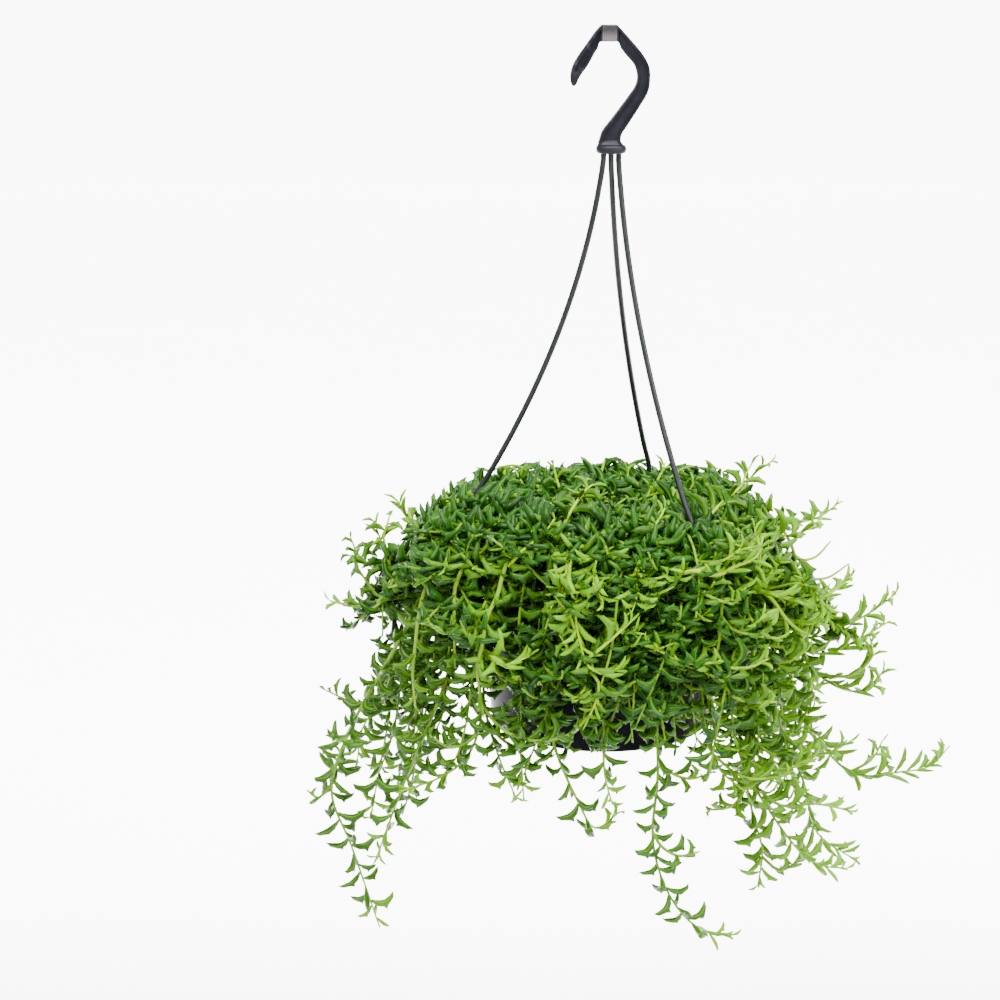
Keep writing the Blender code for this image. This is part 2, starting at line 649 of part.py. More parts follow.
def bend_clear(routes, fixed, held):
    """Push routes apart wherever two of them come nearer than the stem clearance.

    routes: lists of points. fixed: points that stay. held: how many points at the start of each
    route keep their place.
    """
    clouds = [np.array([tuple(point) for point in route]) for route in routes]
    owners = np.concatenate([np.full(len(cloud), k) for k, cloud in enumerate(clouds)])
    pinned = np.concatenate([np.arange(len(cloud)) < hold for cloud, hold in zip(clouds, held)])
    points = np.vstack(clouds + [fixed])
    owners = np.concatenate([owners, np.full(len(fixed), -1)])
    pinned = np.concatenate([pinned, np.full(len(fixed), True)])
    for _ in range(30):
        shift = np.zeros_like(points)
        for k in range(len(clouds)):
            own = np.nonzero((owners == k) & ~pinned)[0]
            rest = np.nonzero(owners != k)[0]
            if not len(own):
                continue
            away = points[own][:, None, :] - points[rest][None, :, :]
            distance = np.maximum(np.linalg.norm(away, axis=2), 1e-6)
            push = np.clip(STEM_CLEARANCE - distance, 0.0, None) / distance
            shift[own] += (away * push[:, :, None]).sum(axis=1) * 0.35
        for k in range(len(clouds)):
            own = np.nonzero(owners == k)[0]
            soft = shift[own].copy()
            soft[1:-1] = (shift[own][:-2] + 2.0 * shift[own][1:-1] + shift[own][2:]) / 4.0
            shift[own] = soft
        size = np.linalg.norm(shift, axis=1, keepdims=True)
        shift *= np.minimum(1.0, 0.0015 / np.maximum(size, 1e-9))
        points = points + np.where(pinned[:, None], 0.0, shift)
    return [[Vector(row) for row in points[owners == k]] for k in range(len(clouds))]


def thin_route(route, first=0):
    """The points that a route needs to keep its shape, always with the given first one and both ends."""
    kept = {0, first, len(route) - 1}
    spans = [(first, len(route) - 1)]
    while spans:
        start, end = spans.pop()
        if end - start < 2:
            continue
        chord = route[end] - route[start]
        offs = [(route[k] - route[start]).cross(chord).length / max(chord.length, 1e-9)
                for k in range(start + 1, end)]
        worst = max(range(len(offs)), key=lambda k: offs[k])
        tolerance = LIP_TOLERANCE if first and start < LIP_POINTS else STEM_TOLERANCE
        if offs[worst] > tolerance or chord.length > STEM_LONGEST:
            split = start + 1 + worst if offs[worst] > tolerance else (start + end) // 2
            kept.add(split)
            spans += [(start, split), (split, end)]
    return [route[k] for k in sorted(kept)]


def stem_mesh(name, thin, rooted):
    radius = STEM_RADIUS if rooted else SHOOT_RADIUS
    radii = [radius + (STEM_TIP_RADIUS - radius) * (k / (len(thin) - 1)) ** 1.5 for k in range(len(thin))]
    return tube(name, thin, radii, STEM_SIDES)


def leaf_places(thin, first, internode, largest, order):
    """Foot, tangent, side direction, turn and size for each leaf along a stem."""
    lengths = [0.0]
    for a, b in zip(thin, thin[1:]):
        lengths.append(lengths[-1] + (b - a).length)
    frames = frames_along(thin)
    total = lengths[-1]
    places = []
    along = first
    count = 0
    while along < total - 0.001:
        k = max(index for index, length in enumerate(lengths) if length <= along)
        k = min(k, len(thin) - 2)
        share = (along - lengths[k]) / (lengths[k + 1] - lengths[k])
        foot = thin[k].lerp(thin[k + 1], share)
        tangent = (thin[k + 1] - thin[k]).normalized()
        side = frames[k][1]
        side = (side - tangent * side.dot(tangent)).normalized()
        turn = math.radians(137.5) * count + 6.28 * draw(order, 11)
        size = 1.0 if along < total * 0.7 else 1.0 - 0.45 * (along / total - 0.7) / 0.3
        size *= largest * (0.88 + 0.22 * draw(order, count, 12))
        arch = max(0.0, 1.0 - along / ARCH_LENGTH) if first > ROOT_DEPTH + SOIL_BELOW_RIM else 0.0
        places.append((foot, tangent, side, turn, size * (1.0 + ARCH_GAIN * arch), count))
        along += internode * (0.86 + 0.28 * draw(order, count, 13)) * (0.6 + 0.4 * size / largest)
        along -= internode * 0.35 * arch
        count += 1
    return places


def add_leaves(name, thin, first, order, neighbours):
    """Leaves along one stem that keep clear of all that is placed already."""
    leaves = []
    internode = CROWN_INTERNODE if name == "crown" else INTERNODE
    largest = CROWN_LEAF if name == "crown" else TRAIL_LEAF
    for foot, tangent, side, turn, size, count in leaf_places(thin, first, internode, largest, order):
        other = tangent.cross(side)
        opening = LEAF_OPENING + LEAF_VARIES * draw(order, count, 14)
        for nudge in (0.0, 0.5, -0.5, 1.0, -1.0, 1.6, -1.6, 2.3, -2.3, 3.1):
            angle = turn + nudge
            outward = side * math.cos(angle) + other * math.sin(angle)
            if (foot + outward * 0.012).z < foot.z and foot.z > RIM_Z and foot.xy.length < FLANGE_RADIUS:
                continue
            grown, grown_faces = leaf_shape(foot, tangent, outward, size, opening, LEAF_CLEARANCE)
            lifted = [grown[0] + outward * (LEAF_ROOT + STEM_RADIUS + LEAF_CLEARANCE)] + grown[1:]
            if neighbours.is_clear(lifted, grown_faces) and neighbours.is_clear(grown, grown_faces, (name,)):
                points, faces = leaf_shape(foot, tangent, outward, size, opening)
                neighbours.add(points, faces, name)
                leaves.append((points, faces))
                break
    return leaves


def join_node(name, stems, leaves, material, core=None):
    """Stems and leaves of one node, joined by one Boolean union."""
    bodies = [add_object("stem", mesh) for mesh in stems]
    bodies += [add_object("leaf", mesh_from("leaf", points, faces)) for points, faces in leaves]
    base = add_object(name, core if core is not None else bodies[0].data.copy())
    if core is None:
        first = bodies.pop(0)
        bpy.data.objects.remove(first)
    apply_boolean(base, bodies, "UNION")
    clean_body(base.data)
    base.data.materials.clear()
    base.data.materials.append(material)
    base.data.name = name
    return base


def ringed_body(name, foot, rings, top, sides):
    """A closed body from rings of points between a foot point and a top point."""
    points = [foot] + [point for ring in rings for point in ring] + [top]
    faces = []
    for k in range(sides):
        after = (k + 1) % sides
        faces.append([0, 1 + k, 1 + after])
        for level in range(len(rings) - 1):
            low = 1 + level * sides
            faces.append([low + k, low + sides + k, low + after])
            faces.append([low + sides + k, low + sides + after, low + after])
        last = 1 + (len(rings) - 1) * sides
        faces.append([last + k, len(points) - 1, last + after])
    return mesh_from(name, points, faces)


def crown_core():
    """The low, lumpy heart of the crown, standing on the soil inside the ring of stems."""
    soil_top = RIM_Z - SOIL_BELOW_RIM + 0.001 + GAP
    top = RIM_Z + CORE_TOP
    levels = [(0.80, soil_top), (1.0, soil_top + 0.4 * (top - soil_top)), (0.80, top - 0.002), (0.40, top)]
    rings = []
    for level, (share, z) in enumerate(levels):
        ring = []
        for k in range(CORE_SIDES):
            lump = 1.0 + 0.12 * (draw(k, level, 21) - 0.5)
            bump = 0.0 if level == 0 else 0.002 * (draw(k, level, 22) - 0.5)
            ring.append(polar(CORE_RADIUS * share * lump, 360.0 * k / CORE_SIDES, z + bump))
        rings.append(ring)
    return ringed_body("crown", Vector((0, 0, soil_top)), rings, Vector((0, 0, top + 0.001)), CORE_SIDES)


def crown_core_leaves(neighbours):
    """Leaves that stand straight out of the crown's core, in a sunflower spiral."""
    places = []
    for k in range(CORE_LEAVES):
        share = math.sqrt((k + 0.5) / CORE_LEAVES)
        foot = polar(CORE_RADIUS * 0.84 * share, 137.5 * k, RIM_Z + CORE_TOP - 0.002 - 0.003 * share ** 3)
        tangent = polar(0.9 * share ** 2, 137.5 * k, 1.0).normalized()
        outward = polar(1.0, 360.0 * draw(k, 31), 0.25)
        outward = (outward - tangent * outward.dot(tangent)).normalized()
        places.append((foot, tangent, outward))
    return clear_leaves("crown", places, 60, neighbours)


def bunch_frame(azimuth):
    """Middle of a bunch's core, with its outward and sideways directions."""
    return (polar(BUNCH_RADIUS, azimuth, RIM_Z - BUNCH_DROP), polar(1.0, azimuth, 0.0),
            polar(1.0, azimuth + 90.0, 0.0))


def bunch_core(azimuth, order):
    """A flattened, lumpy core against the pot's wall, which the bunch's leaves stand out of."""
    middle, out, side = bunch_frame(azimuth)
    deep, wide, tall = BUNCH_HALF
    rings = []
    for level, lift in enumerate((-0.68, 0.0, 0.68)):
        girth = math.sqrt(1.0 - lift * lift)
        ring = []
        for k in range(BUNCH_SIDES):
            angle = 2.0 * math.pi * (k + 0.5) / BUNCH_SIDES
            lump = 1.0 - 0.16 * draw(order, level * 8 + k, 23)
            ring.append(middle + out * deep * girth * math.cos(angle) * lump
                        + side * wide * girth * math.sin(angle) * lump + Vector((0, 0, tall * lift)))
        rings.append(ring)
    rise = Vector((0.0, 0.0, tall))
    return ringed_body("core", middle - rise, rings, middle + rise, BUNCH_SIDES)


def bunch_leaves(name, azimuth, order, neighbours):
    middle, out, side = bunch_frame(azimuth)
    deep, wide, tall = BUNCH_HALF
    places = []
    for across, up in BUNCH_LEAVES:
        girth = math.sqrt(max(0.0, 1.0 - across * across - up * up))
        foot = middle + side * wide * across * 0.9 + out * deep * girth * 0.6
        foot.z += tall * up * 0.9
        outward = (out * 1.0 + side * across * 1.1).normalized()
        places.append((foot, Vector((0.0, 0.0, -1.0)), outward))
    return clear_leaves(name, places, order, neighbours)


def clear_leaves(name, places, order, neighbours):
    """Leaves at given feet on a core, each turned a little where its first place is taken."""
    leaves = []
    for count, (foot, tangent, outward) in enumerate(places):
        size = MOUND_LEAF * (0.88 + 0.22 * draw(order, count, 12))
        opening = LEAF_OPENING + LEAF_VARIES * draw(order, count, 14)
        for nudge in (0.0, 0.35, -0.35, 0.7, -0.7, 1.05, -1.05):
            turned_out = Matrix.Rotation(nudge, 3, tangent) @ outward
            grown, grown_faces = leaf_shape(foot, tangent, turned_out, size, opening, LEAF_CLEARANCE)
            rise = (tangent + turned_out).normalized() * CORE_SINK
            lifted = [grown[0] + rise] + grown[1:]
            core = CORE_OWNER + name
            if neighbours.is_clear(lifted, grown_faces, (core,)) and neighbours.is_clear(grown, grown_faces,
                                                                                         (core, name)):
                points, faces = leaf_shape(foot, tangent, turned_out, size, opening)
                neighbours.add(points, faces, name)
                leaves.append((points, faces))
                break
    return leaves


def main():
    for piece in list(bpy.data.objects):
        bpy.data.objects.remove(piece)
    charcoal = make_material("charcoal_plastic", (0.022, 0.027, 0.033), 0.42)
    hook_plastic = make_material("hook_plastic", (0.030, 0.034, 0.045), 0.45)
    strand_plastic = make_material("strand_plastic", (0.028, 0.036, 0.038), 0.40)
    earth = make_material("potting_soil", (0.045, 0.028, 0.018), 0.95)
    crown_green = make_material("crown_leaves", (0.050, 0.150, 0.018), 0.40)
    leaf_green = make_material("trailing_leaves", (0.075, 0.200, 0.020), 0.40)

    neighbours = Neighbours()
    fixed = []
    for part, azimuth in HANGER_AZIMUTHS.items():
        strand = make_hanger("hanger_" + part, azimuth, strand_plastic)
        neighbours.add_mesh(strand.data, strand.name)
        fixed += [tuple(point) for point in smooth_route(hanger_route(azimuth), 0.003)]
    neighbours.add_mesh(make_hook(hook_plastic).data, "hook")
    pot = make_pot(charcoal)
    neighbours.add_mesh(pot.data, "pot")

    cores = {"crown": crown_core()}
    for order, (letter, (azimuth, _, _)) in enumerate(BUNCHES.items()):
        cores["bunch_" + letter] = bunch_core(azimuth, order)
    for name, core in cores.items():
        neighbours.add_mesh(core, CORE_OWNER + name)
        if name != "crown":
            fixed += [tuple(vert.co) for vert in core.vertices]

    mains = main_stems()
    crown = crown_stems()
    held = [len(route) if name.startswith("bunch") else 10 for name, route in mains] + [4] * len(crown)
    routes = bend_clear([route for _, route in mains + crown], np.array(fixed), held)
    mains = [(name, route) for (name, _), route in zip(mains + crown, routes)]
    shoots = side_stems(mains)
    still = fixed + [tuple(point) for _, route in mains for point in route]
    routes = bend_clear([route for _, route in shoots], np.array(still), [3] * len(shoots))
    soil = make_soil(earth, [route[0] for name, route in mains if name != "crown"])
    neighbours.add_mesh(soil.data, "soil")

    shoots = [(name, route) for (name, _), route in zip(shoots, routes)]
    groups = {}
    for order, (name, route) in enumerate(mains + shoots):
        rooted = order < len(mains) and name != "crown"
        thin = thin_route(route, 2 if rooted else 0)
        mesh = stem_mesh(name, thin, rooted)
        neighbours.add_mesh(mesh, name)
        first = 0.027 if rooted else 0.016 if name == "crown" else 0.008
        first = BUNCH_FIRST if name.startswith("bunch") else first
        groups.setdefault(name, []).append((order, thin, mesh, first))
    for name, parts in groups.items():
        leaves = []
        if name == "crown":
            leaves = crown_core_leaves(neighbours)
        elif name in cores:
            leaves = bunch_leaves(name, BUNCHES[name[-1]][0], parts[0][0], neighbours)
        for order, thin, mesh, first in parts:
            leaves += add_leaves(name, thin, first, order, neighbours)
        green = crown_green if name == "crown" else leaf_green
        join_node(name, [mesh for _, _, mesh, _ in parts], leaves, green, cores.get(name))


main()
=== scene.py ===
# Potted string of dolphins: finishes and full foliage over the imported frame.
# Metres, +Z up. The origin is the saddle inside the top of the hook, and azimuths are in degrees.
import json
import math

import bmesh
import bpy
import numpy as np
from mathutils import Matrix, Vector

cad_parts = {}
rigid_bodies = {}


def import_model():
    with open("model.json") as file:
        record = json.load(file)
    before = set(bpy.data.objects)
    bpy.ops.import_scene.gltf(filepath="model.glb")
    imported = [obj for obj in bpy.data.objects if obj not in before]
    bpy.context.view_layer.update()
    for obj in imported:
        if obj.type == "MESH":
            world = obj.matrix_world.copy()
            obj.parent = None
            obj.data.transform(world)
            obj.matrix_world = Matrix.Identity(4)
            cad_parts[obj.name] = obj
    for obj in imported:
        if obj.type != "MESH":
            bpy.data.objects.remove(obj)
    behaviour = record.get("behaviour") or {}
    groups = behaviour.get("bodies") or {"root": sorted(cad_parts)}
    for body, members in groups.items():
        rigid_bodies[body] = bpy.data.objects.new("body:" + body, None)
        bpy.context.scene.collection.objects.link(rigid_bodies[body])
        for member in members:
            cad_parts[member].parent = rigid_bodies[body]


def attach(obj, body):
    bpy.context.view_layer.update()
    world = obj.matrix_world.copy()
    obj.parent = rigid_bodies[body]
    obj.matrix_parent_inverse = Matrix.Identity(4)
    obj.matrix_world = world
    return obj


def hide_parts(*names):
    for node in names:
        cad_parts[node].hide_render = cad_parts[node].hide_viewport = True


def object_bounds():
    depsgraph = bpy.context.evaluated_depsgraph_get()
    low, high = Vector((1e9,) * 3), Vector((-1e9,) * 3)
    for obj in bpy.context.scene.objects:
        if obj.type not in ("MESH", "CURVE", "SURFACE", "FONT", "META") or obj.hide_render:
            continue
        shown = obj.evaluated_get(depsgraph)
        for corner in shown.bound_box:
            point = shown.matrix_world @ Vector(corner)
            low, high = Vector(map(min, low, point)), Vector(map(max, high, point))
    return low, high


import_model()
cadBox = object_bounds()
mm = 0.001
drawSteps, drawSpread = (12.9898, 78.233, 37.719), 43758.5453  # they scatter the draws evenly


# Shared helpers

def draw(*keys):  # a repeatable number from 0 to 1; each use has a key of its own
    wave = math.sin(sum((key + 1.0) * step for key, step in zip(keys, drawSteps)))
    return (wave * drawSpread) % 1.0


def swing(*keys):  # the same from -1 to 1
    return 2.0 * draw(*keys) - 1.0


def jitter(size, first, *keys):  # a small random shift, with a draw of its own for each axis
    return Vector([size * (draw(*keys, first + axis) - 0.5) for axis in range(3)])


def between(low, high, share):
    return low + (high - low) * share


def polar(radius, azimuth, z):
    angle = math.radians(azimuth)
    return Vector((radius * math.cos(angle), radius * math.sin(angle), z))


def fromRim(point):  # millimetres from the middle of the rim, as a place
    return Vector((point[0] * mm, point[1] * mm, pot["rimZ"] + point[2] * mm))


def smoothRoute(points, step):
    ends = [points[0] * 2.0 - points[1]] + list(points) + [points[-1] * 2.0 - points[-2]]
    route = [points[0]]
    for before, start, end, after in zip(ends, ends[1:], ends[2:], ends[3:]):
        knots = [0.0]
        for first, second in ((before, start), (start, end), (end, after)):
            knots.append(knots[-1] + max(math.sqrt((second - first).length), 1e-6))
        count = max(1, round((end - start).length / step))
        for index in range(1, count + 1):
            share = index / count
            t = knots[1] + (knots[2] - knots[1]) * share
            inner = start.lerp(end, share)
            left = before.lerp(start, t / knots[1]).lerp(inner, t / knots[2])
            right = inner.lerp(end.lerp(after, (t - knots[2]) / (knots[3] - knots[2])),
                               (t - knots[1]) / (knots[3] - knots[1]))
            route.append(left.lerp(right, share))
    return route


def routeFrom(way, *before):  # a smooth route, with its way in millimetres from the rim's middle
    return smoothRoute(list(before) + [fromRim(point) for point in way], plant["step"])


def framesAlong(route):  # tangent and a steady side direction at each point
    frames = []
    side = None
    for index in range(len(route)):
        tangent = (route[min(index + 1, len(route) - 1)] - route[max(index - 1, 0)]).normalized()
        if side is None:
            guide = Vector((0.0, 0.0, 1.0)) if abs(tangent.z) < 0.8 else Vector((0.31, 0.95, 0.0))
            side = guide.cross(tangent).normalized()
        side = (side - tangent * side.dot(tangent)).normalized()
        frames.append((tangent, side))
    return frames


def lengthsAlong(route):  # how far along a route each of its points lies
    lengths = [0.0]
    for before, after in zip(route, route[1:]):
        lengths.append(lengths[-1] + (after - before).length)
    return lengths


def newObject(name, data):
    created = bpy.data.objects.new(name, data)
    bpy.context.scene.collection.objects.link(created)
    return created


def meshOf(name, bm):
    mesh = bpy.data.meshes.new(name)
    bm.to_mesh(mesh)
    bm.free()
    return mesh


def meshFrom(name, points, faces, smooth=True):
    bm = bmesh.new()
    corners = [bm.verts.new(point) for point in points]
    for face in faces:
        bm.faces.new([corners[index] for index in face])
    bmesh.ops.recalc_face_normals(bm, faces=bm.faces)
    if bm.calc_volume(signed=True) < 0.0:
        bmesh.ops.reverse_faces(bm, faces=bm.faces)
    mesh = meshOf(name, bm)
    if smooth:
        mesh.shade_smooth()
    return mesh


def bridged(rings, sides):  # faces from ring to ring, and a fan where a ring is a single point
    faces = []
    for lower, upper in zip(rings, rings[1:]):
        for k in range(sides):
            quad = [lower[k % len(lower)], lower[(k + 1) % len(lower)],
                    upper[(k + 1) % len(upper)], upper[k % len(upper)]]
            faces.append(list(dict.fromkeys(quad)))
    return faces


def turnedMesh(name, profile, sides, wobble=None):  # a closed solid turned about Z
    points, rings = [], []
    for level, (radius, z) in enumerate(profile):
        if radius < 1e-6:
            rings.append([len(points)])
            points.append(Vector((0.0, 0.0, z)))
        else:
            rings.append(list(range(len(points), len(points) + sides)))
            for k in range(sides):
                place = polar(radius, 360.0 * k / sides, z)
                points.append(place + wobble(place, level) if wobble else place)
    return meshFrom(name, points, bridged(rings, sides))


def joinMeshes(name, meshes):  # one mesh from several, with their materials kept
    bm = bmesh.new()
    slots = []
    for mesh in meshes:
        first = len(bm.faces)
        bm.from_mesh(mesh)
        bm.faces.ensure_lookup_table()
        for material in mesh.materials:
            if material not in slots:
                slots.append(material)
        for face in bm.faces[first:]:
            face.material_index = slots.index(mesh.materials[face.material_index])
    whole = meshOf(name, bm)
    for material in slots:
        whole.materials.append(material)
    return whole


def bakedMesh(mesh, kind, settings, inputs=None):  # the mesh with one modifier applied
    holder = newObject("holder", mesh)
    modifier = holder.modifiers.new("shape", kind)
    for key, value in settings.items():
        setattr(modifier, key, value)
    for identifier, value in (inputs or {}).items():
        modifier[identifier] = value
    graph = bpy.context.evaluated_depsgraph_get()
    result = bpy.data.meshes.new_from_object(holder.evaluated_get(graph))
    holder.modifiers.clear()
    bpy.data.objects.remove(holder)
    return result


def addPiece(name, mesh, nodes):
    mesh.name = name
    piece = newObject(name, mesh)
    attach(piece, "root")
    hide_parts(*nodes)


# Shared helpers for node trees

def feed(tree, socket, value):  # links another node's output, or sets a plain value
    if isinstance(value, bpy.types.NodeSocket):
        tree.links.new(value, socket)
    else:
        socket.default_value = value


def addNode(tree, kind, settings=None, **values):
    node = tree.nodes.new(kind)
    for key, value in (settings or {}).items():
        setattr(node, key, value)
    for label, value in values.items():
        feed(tree, next(s for s in node.inputs if s.enabled and s.name.replace(" ", "") == label), value)
    return node


def outOf(node, label=None):
    return next(s for s in node.outputs if s.enabled and (label is None or s.name == label))


def reckon(tree, operation, *values):
    node = addNode(tree, "ShaderNodeMath", {"operation": operation})
    for socket, value in zip(node.inputs, values):
        feed(tree, socket, value)
    return node.outputs[0]


def newTree(name, inputs):  # an empty Geometry Nodes tree with a geometry in and out and named inputs
    tree = bpy.data.node_groups.new(name, "GeometryNodeTree")
    tree.interface.new_socket(name="Geometry", in_out="INPUT", socket_type="NodeSocketGeometry")
    sockets = {}
    for label, kind, value in inputs:
        item = tree.interface.new_socket(name=label, in_out="INPUT", socket_type="NodeSocket" + kind)
        if value is not None:
            item.default_value = value
        sockets[label] = item.identifier
    tree.interface.new_socket(name="Geometry", in_out="OUTPUT", socket_type="NodeSocketGeometry")
    given, result = tree.nodes.new("NodeGroupInput"), tree.nodes.new("NodeGroupOutput")
    return tree, given.outputs, result.inputs[0], sockets


def attribute(tree, name, kind):
    return outOf(addNode(tree, "GeometryNodeInputNamedAttribute", {"data_type": kind}, Name=name), "Attribute")


def tubeAlong(tree, chain, sides, radius, **more):  # a smooth round tube with closed ends along edges
    curve = addNode(tree, "GeometryNodeMeshToCurve", Mesh=chain)
    ring = addNode(tree, "GeometryNodeCurvePrimitiveCircle", Resolution=sides, Radius=radius)
    body = addNode(tree, "GeometryNodeCurveToMesh", Curve=outOf(curve), ProfileCurve=outOf(ring, "Curve"),
                   FillCaps=True, **more)
    return outOf(addNode(tree, "GeometryNodeSetShadeSmooth", Geometry=outOf(body)))


def joined(tree, *geometries):
    node = addNode(tree, "GeometryNodeJoinGeometry")
    for geometry in geometries:
        tree.links.new(geometry, node.inputs[0])
    return outOf(node)


def finished(tree, geometry, finish):  # real geometry with its material
    real = addNode(tree, "GeometryNodeRealizeInstances", Geometry=geometry)
    return outOf(addNode(tree, "GeometryNodeSetMaterial", Geometry=outOf(real), Material=finish))


def runTree(tree, sockets, mesh, values):
    inputs = {sockets[label]: value for label, value in values.items()}
    return bakedMesh(mesh, "NODES", {"node_group": tree}, inputs)


# Shared helpers for materials

def newMaterial(name, roughness, specular):
    material = bpy.data.materials.new(name)
    material.use_nodes = True
    tree = material.node_tree
    shader = tree.nodes["Principled BSDF"]
    shader.inputs["Roughness"].default_value = roughness
    shader.inputs["Specular IOR Level"].default_value = specular
    return material, tree, shader, outOf(addNode(tree, "ShaderNodeTexCoord"), "Object")


def noiseOf(tree, places, scale, detail=3.0, roughness=0.55):
    return outOf(addNode(tree, "ShaderNodeTexNoise", Vector=places, Scale=scale, Detail=detail,
                         Roughness=roughness), "Fac")


def stretched(tree, places, scale):
    return outOf(addNode(tree, "ShaderNodeMapping", Vector=places, Scale=scale))


def span(tree, value, low, high, toLow=0.0, toHigh=1.0):  # a smooth step between two limits
    return outOf(addNode(tree, "ShaderNodeMapRange", {"interpolation_type": "SMOOTHSTEP"}, Value=value,
                         FromMin=low, FromMax=high, ToMin=toLow, ToMax=toHigh))


def mixed(tree, share, first, second):  # colours or sockets
    node = addNode(tree, "ShaderNodeMix", {"data_type": "RGBA"})
    for index, value in ((0, share), (6, first), (7, second)):
        feed(tree, node.inputs[index], (*value, 1.0) if isinstance(value, tuple) else value)
    return node.outputs[2]


def fact(tree, name):  # a value carried by the mesh
    return outOf(addNode(tree, "ShaderNodeAttribute", {"attribute_name": name}), "Fac")


def dress(tree, shader, colour, roughness, height, strength, distance):  # colour, gloss and fine relief
    tree.links.new(colour, shader.inputs["Base Color"])
    if roughness is not None:
        tree.links.new(roughness, shader.inputs["Roughness"])
    relief = addNode(tree, "ShaderNodeBump", Height=height, Strength=strength, Distance=distance)
    tree.links.new(outOf(relief), shader.inputs["Normal"])


# The pot

pot = {
    "rimZ": -0.296, "height": 0.1326, "baseRadius": 0.071, "rimRadius": 0.0815, "wall": 0.0016,
    "floor": 0.0024, "flangeRadius": 0.0885, "flangeHeight": 0.0024, "soft": 0.0007, "sides": 144,
    "ringRadius": 0.0850, "holeRadius": 0.0021, "holeSides": 20, "holeDepth": 0.012,
    "stepHeight": 0.0042, "stepDepth": 0.0005, "footRecess": 0.0014, "sharpFrom": 38.0,
    "colour": (0.0034, 0.0038, 0.0062), "dust": (0.0075, 0.0090, 0.0118), "flow": (0.0050, 0.0065, 0.0085),
}
hangerAzimuths = {"left": 187.3, "back": 67.3, "right": 307.3}


def potRadius(z):  # outside of the wall
    return between(pot["baseRadius"], pot["rimRadius"], (z - (pot["rimZ"] - pot["height"])) / pot["height"])


def potMaterial():
    material, tree, shader, places = newMaterial("charcoalPlastic", 0.36, 0.03)
    grain = noiseOf(tree, places, 2600.0, 2.0)
    cloudy = noiseOf(tree, places, 34.0, 4.0)
    flow = noiseOf(tree, stretched(tree, places, (60.0, 60.0, 4.0)), 3.0)
    colour = mixed(tree, span(tree, cloudy, 0.45, 0.80, 0.0, 0.55), pot["colour"], pot["dust"])
    colour = mixed(tree, span(tree, flow, 0.5, 0.75, 0.0, 0.25), colour, pot["flow"])
    relief = reckon(tree, "ADD", grain, reckon(tree, "MULTIPLY", flow, 1.6))
    dress(tree, shader, colour, span(tree, cloudy, 0.3, 0.8, 0.30, 0.42), relief, 0.25, 0.00010)
    return material


def makePot():
    rim, foot = pot["rimZ"], pot["rimZ"] - pot["height"]
    under, floor = rim - pot["flangeHeight"], foot + pot["floor"]
    wall, flange, base, soft = pot["wall"], pot["flangeRadius"], pot["baseRadius"], pot["soft"]
    step, inset = foot + pot["stepHeight"], potRadius(foot + pot["stepHeight"]) - pot["stepDepth"]
    profile = [
        # the floor and the inside of the wall
        (0.0, floor), (base - wall - 0.003, floor), (potRadius(floor) - wall, floor + 0.003),
        (pot["rimRadius"] - wall, rim - soft), (pot["rimRadius"] - wall + soft, rim),
        # round the flange
        (flange - 0.0012, rim), (flange - 0.0004, rim - 0.0003), (flange, rim - 0.0009), (flange, under + 0.0006),
        (flange - 0.0003, under + 0.0001), (flange - 0.0010, under), (potRadius(under) + 0.0012, under),
        (potRadius(under) + 0.0003, under - 0.0004), (potRadius(under - 0.002), under - 0.002),
        # the wall's step, the foot and the recess under it
        (potRadius(step + 0.0004), step + 0.0004), (inset, step), (inset - 0.0001, step - 0.0022),
        (base - 0.0005, foot + 0.0012), (base - 0.0010, foot + 0.0004), (base - 0.0020, foot),
        (base - 0.0070, foot), (base - 0.0080, foot + pot["footRecess"]), (0.0, foot + pot["footRecess"]),
    ]
    drill = bmesh.new()
    for azimuth in hangerAzimuths.values():
        place = polar(pot["ringRadius"], azimuth, rim)
        bmesh.ops.create_cone(drill, cap_ends=True, segments=pot["holeSides"], radius1=pot["holeRadius"],
                              radius2=pot["holeRadius"], depth=pot["holeDepth"], matrix=Matrix.Translation(place))
    cutter = newObject("drill", meshOf("drill", drill))
    body = bakedMesh(turnedMesh("pot", profile, pot["sides"]), "BOOLEAN",
                     {"operation": "DIFFERENCE", "object": cutter, "solver": "EXACT"})
    bpy.data.objects.remove(cutter)
    body.materials.clear()
    body.materials.append(potMaterial())
    body.shade_smooth()
    body.set_sharp_from_angle(angle=math.radians(pot["sharpFrom"]))
    addPiece("potShell", body, ["pot"])


# The soil

soil = {
    "belowRim": 0.010, "aboveFloor": 0.0003, "slack": 0.0006, "dome": 0.001, "ripple": 0.0016, "rings": 18,
    "sides": 96, "crumbDensity": 62000.0, "crumbSize": 0.0011, "crumbLeast": (0.5, 0.4, 0.3),
    "crumbMost": (2.2, 1.3, 0.9), "crumbsUnderTop": 0.002, "seed": 4, "sizeSeed": 3,
    "dark": (0.014, 0.009, 0.006), "brown": (0.070, 0.042, 0.024), "fleck": (0.190, 0.140, 0.095),
}


def soilMaterial():
    material, tree, shader, places = newMaterial("pottingSoil", 0.92, 0.25)
    coarse = noiseOf(tree, places, 260.0, 5.0, 0.7)
    fine = noiseOf(tree, places, 1500.0, 4.0, 0.7)
    colour = mixed(tree, span(tree, coarse, 0.35, 0.65), soil["dark"], soil["brown"])
    colour = mixed(tree, span(tree, fine, 0.66, 0.74, 0.0, 0.8), colour, soil["fleck"])
    dress(tree, shader, colour, None, reckon(tree, "ADD", coarse, fine), 0.8, 0.0012)
    return material


